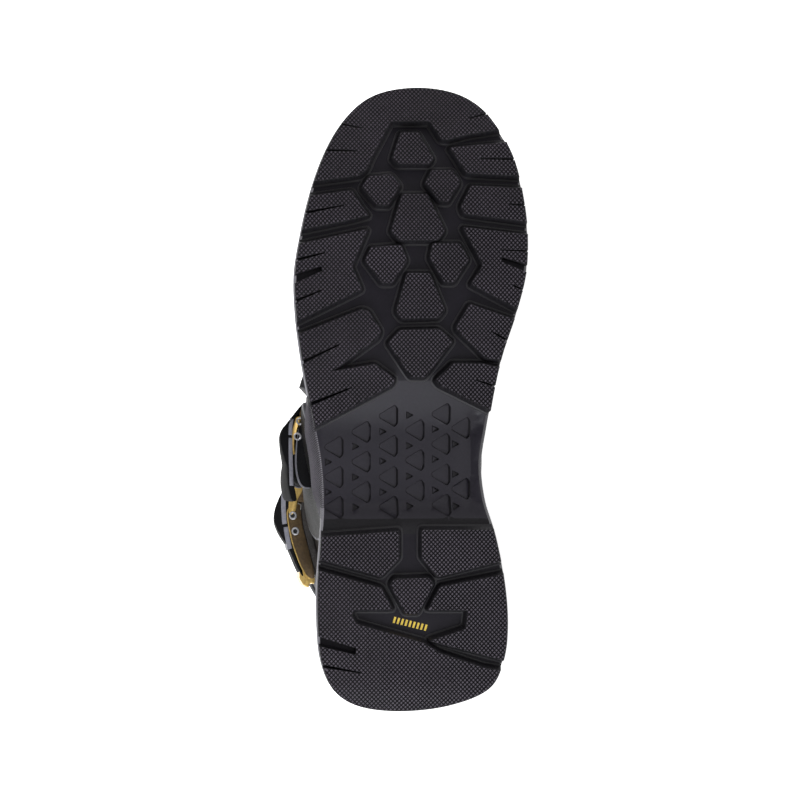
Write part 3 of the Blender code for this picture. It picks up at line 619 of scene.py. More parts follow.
def quads(rows: int, columns: int, wrap: bool = False, first: int = 0) -> list[tuple[int, ...]]:
    """Faces of a grid of points that is numbered row by row.

    Args:
        rows: Rows of points.
        columns: Points in a row.
        wrap: Whether each row closes on itself.
        first: Number of the first point.

    Returns:
        Four corners for each face.
    """
    row, column = np.meshgrid(np.arange(rows - 1), np.arange(columns if wrap else columns - 1), indexing="ij")
    here = first + row * columns + column
    there = first + row * columns + (column + 1) % columns
    corners = np.stack([here, there, there + columns, here + columns], axis=-1).reshape(-1, 4)
    return [tuple(face) for face in corners.tolist()]


def slab(outer: np.ndarray, inner: np.ndarray, wrap: bool = False, finish: int = 0,
         under: int | None = None) -> list[Shape]:
    """A closed wall between two grids of points.

    Args:
        outer: Rows x columns x 3 points of the face that shows.
        inner: The same for the face beneath.
        wrap: Whether rows close on themselves.
        finish: Number of the finish of the outer face and the edges.
        under: Number of the finish beneath, or the same one.

    Returns:
        The outer face with the edges, and the face beneath.
    """
    rows, columns = outer.shape[:2]
    count = rows * columns
    grid = np.arange(count).reshape(rows, columns)
    borders = [grid[0], grid[-1]] if wrap else [grid[0], grid[-1], grid[:, 0], grid[:, -1]]
    strips = []
    for border in borders:
        after = np.roll(border, -1) if wrap else border[1:]
        before = border if wrap else border[:-1]
        corners = np.stack([before, after, after + count, before + count], axis=1)
        strips += [tuple(face) for face in corners.tolist()]
    both = np.concatenate([outer.reshape(-1, 3), inner.reshape(-1, 3)])
    beneath = quads(rows, columns, wrap, count)
    return [Shape(both, quads(rows, columns, wrap) + strips, finish),
            Shape(both, beneath, finish if under is None else under)]


def rod(rings: np.ndarray, finish: int = 0) -> Shape:
    """A solid skin through a row of closed rings, capped at both ends.

    Args:
        rings: Rings x points x 3.
        finish: Number of the finish.

    Returns:
        The closed shape.
    """
    levels, count = rings.shape[:2]
    faces = quads(levels, count, True)
    faces += [tuple(range(count)), tuple(range((levels - 1) * count, levels * count))]
    return Shape(rings.reshape(-1, 3), faces, finish)


def rounded(corners: np.ndarray, radius: float, closed: bool, steps: int = 4) -> np.ndarray:
    """A line with its corners rounded.

    Each corner becomes a quadratic curve from radius before it to radius after it, or two fifths of a short
    side.

    Args:
        corners: The line's corners.
        radius: How far from the corner a curve starts.
        closed: Whether the last corner joins the first. An open line keeps its ends.
        steps: Points on each curve.

    Returns:
        The rounded line.
    """
    corners = np.asarray(corners, float)
    before, after = np.roll(corners, 1, axis=0) - corners, np.roll(corners, -1, axis=0) - corners
    reach = [np.minimum(radius, 0.4 * np.linalg.norm(side, axis=1, keepdims=True))
             for side in (before, after)]
    start, end = corners + unit(before) * reach[0], corners + unit(after) * reach[1]
    share = np.linspace(0.0, 1.0, steps)[None, :, None]
    curves = start[:, None] * (1 - share) ** 2 + end[:, None] * share**2
    curves += corners[:, None] * 2 * share * (1 - share)
    if closed:
        return curves.reshape(-1, corners.shape[1])
    inner = curves[1:-1].reshape(-1, corners.shape[1])
    return np.concatenate([corners[:1], inner, corners[-1:]])


def divided(points: np.ndarray, kinds: np.ndarray, step: float) -> tuple[np.ndarray, np.ndarray]:
    """A closed outline with its long edges cut into even pieces.

    Args:
        points: The outline.
        kinds: The kind of the edge that starts at each point.
        step: Longest edge wanted.

    Returns:
        The new outline and its kinds.
    """
    after = np.roll(points, -1, axis=0)
    pieces = np.maximum(np.ceil(np.linalg.norm(after - points, axis=1) / step).astype(int), 1)
    owner = np.repeat(np.arange(len(points)), pieces)
    start = np.repeat(np.cumsum(pieces) - pieces, pieces)
    share = ((np.arange(pieces.sum()) - start) / np.repeat(pieces, pieces))[:, None]
    return points[owner] * (1 - share) + after[owner] * share, kinds[owner]


def shifted(points: np.ndarray, moves: np.ndarray) -> np.ndarray:
    """A closed outline with each edge moved out by its own width.

    A corner goes to where its two moved edges cross, or straight out where they are nearly in line.

    Args:
        points: The outline.
        moves: How far the edge that starts at each point moves out.

    Returns:
        The moved outline.
    """
    after = np.roll(points, -1, axis=0) - points
    area = np.sum(points[:, 0] * np.roll(points[:, 1], -1) - points[:, 1] * np.roll(points[:, 0], -1))
    normal = unit(np.column_stack([after[:, 1], -after[:, 0]])) * math.copysign(1.0, area)
    before, own = np.roll(normal, 1, axis=0), moves
    last = np.roll(moves, 1)
    turn = np.sum(normal * before, axis=1)
    gap = np.maximum(1.0 - turn**2, 1e-3)
    crossing = ((own - turn * last) / gap)[:, None] * normal + ((last - turn * own) / gap)[:, None] * before
    plain = unit(normal + before) * ((own + last) / 2.0)[:, None]
    shift = np.where((turn > 0.94)[:, None], plain, crossing)
    longest = 2.0 * np.maximum(np.abs(own), np.abs(last)) + 1e-9
    size = np.linalg.norm(shift, axis=1)
    return points + shift * np.minimum(1.0, longest / np.maximum(size, 1e-9))[:, None]


def inside(points: np.ndarray, outline: np.ndarray) -> np.ndarray:
    """Whether each point lies in a closed outline, by counting the edges to its right."""
    start, end = outline, np.roll(outline, -1, axis=0)
    x, y = points[:, None, 0], points[:, None, 1]
    spans = (start[None, :, 1] > y) != (end[None, :, 1] > y)
    rise = np.where(np.abs(end[:, 1] - start[:, 1]) < 1e-12, 1e-12, end[:, 1] - start[:, 1])
    cross = start[None, :, 0] + (y - start[None, :, 1]) / rise[None] * (end - start)[None, :, 0]
    return (np.sum(spans & (x < cross), axis=1) % 2).astype(bool)


def near(points: np.ndarray, line: np.ndarray) -> np.ndarray:
    """Distance from each point to the nearest of a line's points."""
    parts = np.array_split(points, 1 + len(points) // 2000)
    return np.concatenate([np.min(np.linalg.norm(part[:, None] - line[None], axis=2), axis=1)
                           for part in parts])


@dataclass(frozen=True)
class SoleForm:
    """The sole's outline and heights."""

    length: float = 0.315
    ball_width: float = 0.1165
    heel_thickness: float = 0.031
    waist_thickness: float = 0.028
    ball_thickness: float = 0.024
    toe_thickness: float = 0.023
    toe_spring: float = 0.016
    heel_bevel: float = 0.004
    waist_lift: float = 0.002
    lug_height: float = 0.0055
    arch_rise: float = 0.0075
    waist_flare: float = 0.005

    def rim_edges(self, turn: np.ndarray) -> tuple[np.ndarray, np.ndarray]:
        """Outer and inner edge at this share of a half turn from heel to toe."""
        along, outer, inner = np.array(OUTLINE, float).T / 1000.0
        knots = turn_of(along)
        return hermite(knots, outer, turn) * self.ball_width, hermite(knots, inner, turn) * self.ball_width

    def edges_at(self, y: np.ndarray) -> tuple[np.ndarray, np.ndarray]:
        """Outer and inner edge at this place along the sole."""
        return self.rim_edges(turn_of(np.asarray(y) / self.length))

    def rim(self, place: np.ndarray) -> np.ndarray:
        """A point of the rim.

        Place runs from 0 at the heel along the outer side to 1 at the toe and on along the inner side to 2.
        The point's place along the length follows a cosine of it, and its place across the outline's table.
        """
        place = np.asarray(place, float) % 2.0
        turn = np.where(place <= 1.0, place, 2.0 - place)
        outer, inner = self.rim_edges(turn)
        along = self.length * (1.0 - np.cos(math.pi * turn)) / 2.0
        return np.stack([np.where(place <= 1.0, outer, inner), along], axis=-1)

    def rim_place(self, along: float, side: Side) -> float:
        """The rim's place at this distance from the heel, on one side."""
        turn = float(turn_of(along / self.length))
        return turn if side is Side.OUTER else 2.0 - turn

    def ring(self, count: int, inset: float) -> np.ndarray:
        """The rim moved in by inset, as a loop of count points."""
        ring = self.rim(np.arange(count) * 2.0 / count)
        along = np.roll(ring, -1, axis=0) - np.roll(ring, 1, axis=0)
        return ring + unit(np.stack([-along[:, 1], along[:, 0]], axis=1)) * inset

    def tread_height(self, y: np.ndarray) -> np.ndarray:
        """Height of the lugs' faces: flat at heel and ball, rising to the toe, with a bevelled heel back."""
        share = np.asarray(y, float) / self.length
        toe = self.toe_spring * np.clip((share - 0.74) / 0.26, 0.0, 1.3) ** 1.7
        heel = self.heel_bevel * np.clip((0.055 - share) / 0.055, 0.0, 1.3) ** 2
        waist = self.waist_lift * ramp(0.30, 0.38, share) * (1.0 - ramp(0.50, 0.60, share))
        return toe + heel + waist

    def floor_height(self, y: np.ndarray) -> np.ndarray:
        """Height of the body between the lugs, with the raised arch and the sloping breast of the heel."""
        share = np.asarray(y, float) / self.length
        arch = self.arch_rise * ramp(0.292, 0.338, share) * (1.0 - ramp(0.44, 0.56, share))
        return self.tread_height(y) + self.lug_height + arch

    def top_height(self, y: np.ndarray) -> np.ndarray:
        """Height of the face on which the upper stands."""
        share = np.asarray(y, float) / self.length
        thickness = (self.heel_thickness, self.heel_thickness, self.waist_thickness,
                     self.ball_thickness, self.ball_thickness, self.toe_thickness)
        toe = self.toe_spring * np.clip((share - 0.74) / 0.26, 0.0, 1.3) ** 1.7
        return hermite((-0.1, 0.22, 0.45, 0.70, 0.80, 1.0), thickness, share) + toe


class Workshop:
    """Turns shapes into the frame's pieces."""

    def __init__(self, frame: dict) -> None:
        """Reads where the boot lies.
        """
        self.turn, self.shift = BootFrame().axes(frame["record"])
        self.materials: dict[str, bpy.types.Material] = {}
        self.group = bpy.data.collections.new("boot_looks")
        bpy.context.scene.collection.children.link(self.group)

    def laid(self, points: np.ndarray) -> np.ndarray:
        """Standing points as the boot lies: turned, shifted, and pressed flat where they'd pass the floor."""
        placed = np.asarray(points, float) @ self.turn.T + self.shift
        placed[..., 2] = np.maximum(placed[..., 2], 0.0)
        return placed

    def finish(self, finish: Finish) -> bpy.types.Material:
        """A finish's material, made once."""
        if finish.name not in self.materials:
            self.materials[finish.name] = finish.build()
        return self.materials[finish.name]

    def make(self, name: str, shapes: list[Shape], finishes: list[Finish],
             stands_for: tuple[str, ...] = (), sharp: float = 32.0) -> bpy.types.Object:
        """Makes a piece, closes its seams and turns its faces out.

        Args:
            name: The piece's name.
            shapes: Its shapes.
            finishes: The finishes that the shapes number.
            stands_for: The frame's nodes that it replaces.
            sharp: Angle in degrees from which an edge stays sharp.

        Returns:
            The piece.
        """
        points, faces, numbers = Shape.joined(shapes)
        mesh = bpy.data.meshes.new(name)
        mesh.from_pydata(self.laid(points).tolist(), [], faces)
        for finish in finishes:
            mesh.materials.append(self.finish(finish))
        mesh.polygons.foreach_set("material_index", np.array(numbers, np.int32))
        work = bmesh.new()
        work.from_mesh(mesh)
        bmesh.ops.remove_doubles(work, verts=work.verts, dist=WELD)
        bmesh.ops.dissolve_degenerate(work, edges=work.edges, dist=WELD / 2.0)
        bmesh.ops.recalc_face_normals(work, faces=work.faces)
        if work.calc_volume(signed=True) < 0.0:
            bmesh.ops.reverse_faces(work, faces=work.faces)
        work.to_mesh(mesh)
        work.free()
        mesh.shade_smooth()
        mesh.set_sharp_from_angle(angle=math.radians(sharp))
        piece = bpy.data.objects.new(name, mesh)
        self.group.objects.link(piece)
        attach(piece, BODY)
        if stands_for:
            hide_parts(*stands_for)
        LOG.info("%s: %d faces", name, len(mesh.polygons))
        return piece


@dataclass(frozen=True)
class Knurl:
    """The diamond pattern on the lugs: grooves along two crossing families of lines."""

    across: float = 2.1
    along: float = 2.25
    depth: float = 0.5
    flat: float = 0.22
    margin: float = 0.06

    def share(self, place: np.ndarray) -> np.ndarray:
        """How deep in a groove a point lies, 1 at the bottom of the nearest line and 0 on a diamond."""
        first = place[:, 0] / self.across + place[:, 1] / self.along
        second = place[:, 0] / self.across - place[:, 1] / self.along
        off = np.minimum(np.abs(first - np.round(first)), np.abs(second - np.round(second)))
        return 1.0 - np.clip(off / self.flat, 0.0, 1.0)

    def place(self, first: np.ndarray, second: np.ndarray) -> np.ndarray:
        """The point where a line of each family crosses, in mm."""
        return np.stack([(first + second) * self.across, (first - second) * self.along], axis=-1) / 2.0

    def crossings(self, loop: np.ndarray) -> tuple[np.ndarray, np.ndarray]:
        """Where the lines and the diamonds' edges cross a closed outline.

        Args:
            loop: The outline in mm.

        Returns:
            The edge of each crossing and its share of that edge, with the outline's own points among them.
        """
        after = np.roll(loop, -1, axis=0)
        owners, shares = [np.arange(len(loop))], [np.zeros(len(loop))]
        for sign in (1.0, -1.0):
            start = loop[:, 0] / self.across + sign * loop[:, 1] / self.along
            end = after[:, 0] / self.across + sign * after[:, 1] / self.along
            for off in (-self.flat, 0.0, self.flat):
                low = np.ceil(np.minimum(start, end) - off)
                count = np.maximum(np.floor(np.maximum(start, end) - off) - low + 1.0, 0.0).astype(int)
                owner = np.repeat(np.arange(len(loop)), count)
                nth = np.arange(count.sum()) - np.repeat(np.cumsum(count) - count, count)
                share = (low[owner] + nth + off - start[owner]) / (end - start)[owner]
                kept = (share > 0.03) & (share < 0.97)
                owners.append(owner[kept])
                shares.append(share[kept])
        owner, share = np.concatenate(owners), np.concatenate(shares)
        order = np.lexsort((share, owner))
        owner, share = owner[order], share[order]
        kept = np.concatenate([[True], np.diff(owner + share) > 0.025])
        return owner[kept], share[kept]

    def lattice(self, outline: np.ndarray) -> tuple[np.ndarray, np.ndarray, np.ndarray]:
        """Crossings and corners of the diamonds that lie in an outline.

        Args:
            outline: A closed outline in mm that has a point wherever a line crosses it.

        Returns:
            The points, pairs of their numbers for the groove lines and the diamonds' edges, and pairs of a
            number on the outline and a number of a point for the lines that run out.
        """
        first = outline[:, 0] / self.across + outline[:, 1] / self.along
        second = outline[:, 0] / self.across - outline[:, 1] / self.along
        low = np.floor([first.min(), second.min()]).astype(int) - 1
        high = np.ceil([first.max(), second.max()]).astype(int) + 2
        one, two = np.meshgrid(np.arange(low[0], high[0]), np.arange(low[1], high[1]), indexing="ij")
        rows, columns = one.shape
        layers = [(0.0, 0.0)] + [(self.flat + a, self.flat + b) for a, b in self._corners()]
        points = np.concatenate([self.place(one + a, two + b).reshape(-1, 2) for a, b in layers])
        count = rows * columns
        grid = np.arange(count).reshape(rows, columns)
        pairs = [np.stack([grid[:-1].ravel(), grid[1:].ravel()], axis=1),
                 np.stack([grid[:, :-1].ravel(), grid[:, 1:].ravel()], axis=1)]
        for corner in range(4):
            ends = (count * (1 + corner), count * (1 + (corner + 1) % 4))
            pairs.append(np.stack([grid.ravel() + ends[0], grid.ravel() + ends[1]], axis=1))
        edges = np.concatenate(pairs)
        kept = inside(points, outline) & (near(points, outline) > self.margin)
        number = np.cumsum(kept) - 1
        ends = kept[edges]
        out = edges[ends[:, 0] != ends[:, 1]]
        out = np.where(kept[out[:, :1]], out, out[:, ::-1])
        run = points[out[:, 1]] - points[out[:, 0]]
        gaps = outline[None] - points[out[:, 0]][:, None]
        share = np.sum(gaps * run[:, None], axis=2) / np.sum(run * run, axis=1)[:, None]
        off = np.linalg.norm(gaps - share[..., None] * run[:, None], axis=2)
        share = np.where((off < 0.06) & (share > 0.0) & (share < 1.05), share, 9.0)
        best = np.argmin(share, axis=1)
        met = share[np.arange(len(out)), best] < 9.0
        ties = np.stack([best[met], number[out[met, 0]]], axis=1)
        return points[kept], number[edges[ends.all(axis=1)]], ties

    def _corners(self) -> tuple[tuple[float, float], ...]:
        """Corners of a diamond beyond its first one, in steps of the two families."""
        reach = 1.0 - 2.0 * self.flat
        return ((0.0, 0.0), (reach, 0.0), (reach, reach), (0.0, reach))


def meshed(outline: np.ndarray, points: np.ndarray, edges: np.ndarray,
           ties: np.ndarray | None = None) -> tuple[np.ndarray, list[tuple[int, ...]]]:
    """Triangles that fill an outline through given points and edges.

    Args:
        outline: A closed outline in mm.
        points: More points in it.
        edges: Pairs of their numbers that must be edges.
        ties: Pairs of a number on the outline and a number of a point that must be edges too.

    Returns:
        The points and the triangles.
    """
    count = len(outline)
    spots = [Vector(spot) for spot in np.concatenate([outline, points]).tolist()]
    lines = [tuple(pair) for pair in (edges + count).tolist()] if len(edges) else []
    if ties is not None:
        lines += [tuple(pair) for pair in (ties + (0, count)).tolist()]
    found = delaunay_2d_cdt(spots, lines, [list(range(count))], 1, 1e-5, False)
    placed = np.array([tuple(spot) for spot in found[0]])
    faces = np.array(found[2])
    kept = inside(placed[faces].mean(axis=1), outline)
    return placed, [tuple(face) for face in faces[kept].tolist()]


@dataclass
class Tread:
    """The lugs of the sole: drafted blocks with a knurled face, slots cut in from the rim and a low ledge."""

    form: SoleForm
    knurl: Knurl = field(default_factory=Knurl)
    step: float = 1.4
    corner: float = 1.1
    # Rows from the face down to the floor, for each kind of edge: how far out and how deep in mm, where a
    # negative depth is counted back from the floor
    rows: dict[Edge, Line] = field(default_factory=lambda: {
        Edge.WALL: ((-0.12, 0.0), (-0.02, 0.1), (0.15, 0.42), (1.45, -0.5), (1.65, -0.34), (2.3, -0.3),
                    (2.5, 0.4)),
        Edge.RIM: ((-1.5, 0.0), (-1.0, 0.3), (-0.8, 1.1), (-0.75, -0.42), (-0.75, -0.26), (-0.75, -0.22),
                   (-0.75, 0.4)),
        Edge.SLOT: ((-0.12, 0.0), (-0.02, 0.1), (0.03, 0.42), (0.14, -0.42), (0.16, -0.26), (0.18, -0.22),
                    (0.2, 0.4)),
    })

    def slot(self, side: Side, cut: tuple[float, ...],
             forward: float) -> tuple[list[np.ndarray], float, float]:
        """A slot's four corners, and the rim's places where it starts and ends.

        Its mouth's corners stand half a mouth's width either side of the middle, measured square to the slot.

        Args:
            side: The side of the boot.
            cut: A row of SLOTS.
            forward: 1 where the rim is followed from lower places to higher ones, else -1.

        Returns:
            The corners in the order of travel, and the two places.
        """
        along, across_in, along_in, mouth, bottom = cut
        place = self.form.rim_place(along * MM, side)
        start, end = self.form.rim(place) / MM, np.array((across_in, along_in))
        drift = (self.form.rim(place + 1e-4) - self.form.rim(place - 1e-4)) / MM / 2e-4 * forward
        run = unit(end - start)
        square = np.array((-run[1], run[0]))
        square = square * math.copysign(1.0, float(square @ drift))
        half = mouth / 2.0 / max(float(square @ drift), 1e-6) * forward
        first, last = place - half, place + half
        corners = [self.form.rim(first) / MM, end - square * bottom / 2.0, end + square * bottom / 2.0]
        return corners, first, last

    def outline(self, name: str, corners: tuple, sides: tuple[Side, Side]) -> tuple[np.ndarray, np.ndarray]:
        """A lug's outline on the tread, in mm.

        It runs through the rounded corners and back along the rim, with the slots cut in.

        Args:
            name: The lug's name.
            corners: Its corners, the first and the last at the rim unless it stands free.
            sides: The sides of its first and last corner.

        Returns:
            The outline and the kind of each edge.
        """
        line = np.array(corners, float)
        if name.startswith("middle") or name == "heel_middle":
            loop = rounded(line, self.corner, True)
            return divided(loop, np.full(len(loop), Edge.WALL.value), self.step)
        first = self.form.rim_place(abs(line[0, 1]) * MM, sides[0])
        last = self.form.rim_place(abs(line[-1, 1]) * MM, sides[1])
        if name == "heel":
            first += 2.0
        line[0], line[-1] = self.form.rim(first) / MM, self.form.rim(last) / MM
        points = list(rounded(line, self.corner, False)[:-1])
        kinds = [Edge.WALL.value] * len(points)
        forward = math.copysign(1.0, first - last)
        cuts = []
        for cut in SLOTS.get(name, ()):
            side = Side.INNER if cut[0] < 0 or sides == (Side.INNER, Side.INNER) else Side.OUTER
            found = self.slot(side, (abs(cut[0]), *cut[1:]), forward)
            shift = 2.0 if name == "heel" and found[1] < 1.0 else 0.0
            cuts.append((found[0], found[1] + shift, found[2] + shift))
        here = last
        for mouth, start, end in sorted(cuts, key=lambda cut: cut[1] * forward):
            self._follow(points, kinds, here, start)
            points += mouth
            kinds += [Edge.SLOT.value] * 3
            here = end
        self._follow(points, kinds, here, first)
        return divided(np.array(points), np.array(kinds), self.step)

    def _follow(self, points: list, kinds: list, start: float, end: float) -> None:
        """Adds the rim's points from one place up to, but not with, another."""
        length = abs(end - start) * 330.0
        places = np.linspace(start, end, max(2, int(length / self.step) + 1))[:-1]
        points += list(self.form.rim(places) / MM)
        kinds += [Edge.RIM.value] * len(places)

    def lug(self, name: str, corners: tuple, sides: tuple[Side, Side]) -> list[Shape]:
        """One lug.

        Args:
            name: Its name.
            corners: Its corners.
            sides: The sides of its first and last corner.

        Returns:
            The knurled face and the walls with the bottom.
        """
        outline, kinds = self.outline(name, corners, sides)
        flats = []
        for row in range(7):
            flats.append(shifted(outline, np.array([self.rows[kind][row][0] for kind in Edge])[kinds]))
        owner, share = self.knurl.crossings(flats[0])
        rings = []
        for row, flat in enumerate(flats):
            deep = np.array([self.rows[kind][row][1] for kind in Edge])[kinds]
            if row < 3:
                after = np.roll(flat, -1, axis=0)
                flat = flat[owner] * (1.0 - share[:, None]) + after[owner] * share[:, None]
                deep = deep[owner] * (1.0 - share) + np.roll(deep, -1)[owner] * share
            tread = self.form.tread_height(flat[:, 1] * MM)
            room = (self.form.floor_height(flat[:, 1] * MM) - tread) / MM
            deep = np.where((deep < 0.0) | (row == 6), room + deep, deep)
            groove = self.knurl.share(flat) * self.knurl.depth if row < 3 else 0.0
            rings.append(np.column_stack([flat * MM, tread + np.maximum(deep, groove) * MM]))
        fine, count = len(owner), len(outline)
        faces = quads(3, fine, True) + quads(4, count, True, 3 * fine)
        begins = np.append(np.flatnonzero(share == 0.0), fine)
        for edge in range(count):
            above = (np.arange(begins[edge + 1], begins[edge] - 1, -1) % fine + 2 * fine).tolist()
            faces.append((3 * fine + edge, 3 * fine + (edge + 1) % count, *above))
        # Walls and bottom take the darkened wall rubber: painted shade on the lug walls.
        walls = Shape(np.concatenate(rings), faces, 1)
        top = rings[0][:, :2] / MM
        found, faces = meshed(top, *self.knurl.lattice(top))
        height = self.form.tread_height(found[:, 1] * MM) + self.knurl.share(found) * self.knurl.depth * MM
        below, base = meshed(rings[6][:, :2] / MM, np.zeros((0, 2)), np.zeros((0, 2), int))
        deep = self.form.floor_height(below[:, 1] * MM) + self.rows[Edge.WALL][6][1] * MM
        # Faces deep in a knurl groove take the darkened groove rubber: painted shade in the grooves.
        deepness = self.knurl.share(found)[np.array(faces)].mean(axis=1) > 0.3
        points = np.column_stack([found * MM, height])
        return [
            Shape(points, [face for face, low in zip(faces, deepness) if not low], 0),
            Shape(points, [face for face, low in zip(faces, deepness) if low], 5),
            walls,
            Shape(np.column_stack([below * MM, deep]), base, 1),
        ]

    def lugs(self) -> list[Shape]:
        """All the lugs of the tread."""
        shapes = []
        for side, table in ((Side.OUTER, OUTER_LUGS), (Side.INNER, INNER_LUGS), (Side.OUTER, MIDDLE_LUGS)):
            for name, corners in table.items():
                shapes += self.lug(name, corners, (side, side))
        shapes += self.lug("toe", TOE_LUG, (Side.OUTER, Side.INNER))
        shapes += self.lug("heel", HEEL_LUG, (Side.OUTER, Side.INNER))
        return shapes


@dataclass
class SoleBody:
    """The body of the sole: a floor with dimples under the arch, stepped sides and a flat top."""

    form: SoleForm
    stations: int = 260
    spacing: float = 3.0
    rib_start: float = 0.100
    rib_end: float = 0.156
    rib_step: float = 0.00095
    dimple: Line = ((1.7, -5.7), (9.6, -1.0), (9.6, 1.0), (1.7, 5.7), (0.0, 3.7), (0.0, -3.7))
    small: Line = ((9.4, -2.0), (9.4, 2.0), (5.9, 0.35), (5.9, -0.35))
    back_wall: float = 0.95
    dimple_depth: float = 1.5
    tip_depth: float = 0.35
    wall: float = 0.35

    def relief(self, flat: np.ndarray) -> np.ndarray:
        """How far the floor stands above its plain height, in mm: a hollow inside the inner rim."""
        edge = self.form.edges_at(flat[:, 1] * MM)[1] / MM
        inwards = flat[:, 0] - edge
        span = ramp(96.0, 106.0, flat[:, 1]) * (1.0 - ramp(146.0, 156.0, flat[:, 1]))
        hollow = 1.6 * ramp(3.6, 5.4, inwards) * (1.0 - ramp(7.0, 10.5, inwards))
        return hollow * span

    def dimples(self) -> tuple[np.ndarray, np.ndarray, np.ndarray]:
        """Outlines of the dimples under the arch.

        Returns:
            Points in mm, pairs of their numbers that are edges, and each point's depth in mm.
        """
        points, pairs, depths, count = [], [], [], 0
        for across, large, small in DIMPLES:
            spots = [(self.dimple, place, 1.0) for place in large]
            spots += [(self.small, place, 0.75) for place in small]
            for shape, place, share in spots:
                corners = rounded(np.array(shape) + (across, place), 0.7 if share == 1.0 else 0.4, True)
                area = self.form.edges_at(corners[:, 1] * MM)
                if np.any(corners[:, 0] < area[1] / MM + 6.0):
                    continue
                back = (corners[:, 0] + np.roll(corners[:, 0], -1)) / 2.0 < across + 0.5
                if share < 1.0:
                    back = (corners[:, 1] - place) * (np.roll(corners[:, 0], -1) - corners[:, 0]) > 0.2
                for off in (0.0, -self.wall):
                    moves = np.where(back & (off < 0.0), -self.back_wall * share, off)
                    ring = shifted(corners, moves)
                    reach = np.clip((ring[:, 0] - across) / 9.6, 0.0, 1.0)
                    if share < 1.0:
                        reach = 1.0 - np.clip((ring[:, 0] - across - 5.9) / 3.5, 0.0, 1.0)
                        reach = 1.0 - reach
                    sunk = self.dimple_depth * (1.0 - reach) + self.tip_depth * reach
                    points.append(ring)
                    depths.append(np.where(off < 0.0, sunk * share, 0.0) + np.zeros(len(ring)))
                    numbers = count + np.arange(len(ring))
                    pairs.append(np.stack([numbers, np.roll(numbers, -1)], axis=1))
                    count += len(ring)
        return np.concatenate(points), np.concatenate(pairs), np.concatenate(depths)

    def shapes(self) -> list[Shape]:
        """The floor, the sides and the top, which share their edges."""
        count = 2 * self.stations
        steps = np.array(SIDE_STEPS)
        rings = []
        for rise, inset in steps:
            ring = self.form.ring(count, inset)
            x, y = ring[:, 0], ring[:, 1]
            low, high = self.form.floor_height(y), self.form.top_height(y)
            share = y / self.form.length
            waist = ramp(0.29, 0.36, share) * (1.0 - ramp(0.43, 0.52, share)) * (x > 0.0)
            flare = self.form.waist_flare * waist * ramp(0.0, 0.7, rise)
            rings.append(np.column_stack([x + flare, y, low * (1.0 - rise) + high * rise]))
        outline = rings[0][:, :2] / MM
        marks, pairs, depths = self.dimples()
        places = np.meshgrid(np.arange(-66.0, 66.0, self.spacing), np.arange(2.0, 314.0, self.spacing / 2.0))
        grid = np.stack(places, axis=-1).reshape(-1, 2)
        grid = grid[inside(grid, outline)]
        grid = grid[(near(grid, outline) > 1.2) & (near(grid, marks) > 1.0)]
        found, faces = meshed(outline, np.concatenate([marks, grid]), pairs)
        sunk = np.zeros(len(found))
        gaps = np.linalg.norm(found[:, None] - marks[None], axis=2)
        nearest = np.argmin(gaps, axis=1)
        exact = gaps[np.arange(len(found)), nearest] < 1e-3
        sunk[exact] = depths[nearest[exact]]
        sunk[~exact] = self._within(found[~exact])
        height = self.form.floor_height(found[:, 1] * MM) + (sunk + self.relief(found)) * MM
        corners = np.array(faces)
        # Dimple walls and the heel breast take the darkened groove rubber, the arch and the rest of the floor
        # the darkened floor rubbers: all painted shade.
        deep = (sunk[corners].min(axis=1) < 0.01) & (sunk[corners].max(axis=1) > 0.2)
        along = found[corners, 1].mean(axis=1)
        breast = (along > 89.0) & (along < 96.5)
        arch = (along >= 96.5) & (along < 166.0)
        points = np.column_stack([found * MM, height])
        floor = [Shape(points, [faces[index] for index in np.flatnonzero(chosen)], number)
                 for chosen, number in ((deep, 5), (breast & ~deep, 5), (arch & ~deep, 8),
                                        (~deep & ~breast & ~arch, 2))]
        edge = np.array(rings)
        edge[0, :, 2] += self.relief(outline) * MM
        skin, ledge = quads(len(rings), count, True), edge.reshape(-1, 3)
        row, column = np.divmod(np.arange(len(skin)), count)
        outer = (column > 4) & (column < self.stations - 4)
        along = ledge[np.array(skin)[:, 0], 1]
        # The lowest two rows of the outer side, outside the ribs, take the pale rim rubber: a painted
        # highlight line.
        pale = outer & (row < 2) & ((along < self.rib_start) | (along > self.rib_end))
        parts = [Shape(ledge, [skin[index] for index in np.flatnonzero(chosen)], number)
                 for chosen, number in ((pale, 7), (~pale, 3))]
        lid = Shape(edge[-1], [tuple(range(count))], 3)
        return [*floor, *parts, lid]

    def _within(self, spots: np.ndarray) -> np.ndarray:
        """Depth in mm of plain floor points, which is that of the dimple they lie in."""
        deep = np.zeros(len(spots))
        for across, large, _ in DIMPLES:
            for place in large:
                shape = np.array(self.dimple) + (across, place)
                if np.any(shape[:, 0] < self.form.edges_at(shape[:, 1] * MM)[1] / MM + 6.0):
                    continue
                hit = inside(spots, shape)
                reach = np.clip((spots[:, 0] - across) / 9.6, 0.0, 1.0)
                deep[hit] = (self.dimple_depth * (1.0 - reach) + self.tip_depth * reach)[hit]
        return deep

    def ribs(self) -> list[Shape]:
        """Fine slanted ribs on the outer side of the waist, each a low ridge that follows the flared side,
        pale as a painted highlight.
        """
        shapes = []
        for along in np.arange(self.rib_start, self.rib_end, self.rib_step):
            rise = np.linspace(0.02, 0.94, 8)
            shapes.append(self._ridge(along + 0.0075 * (rise - 0.5), rise))
        return shapes

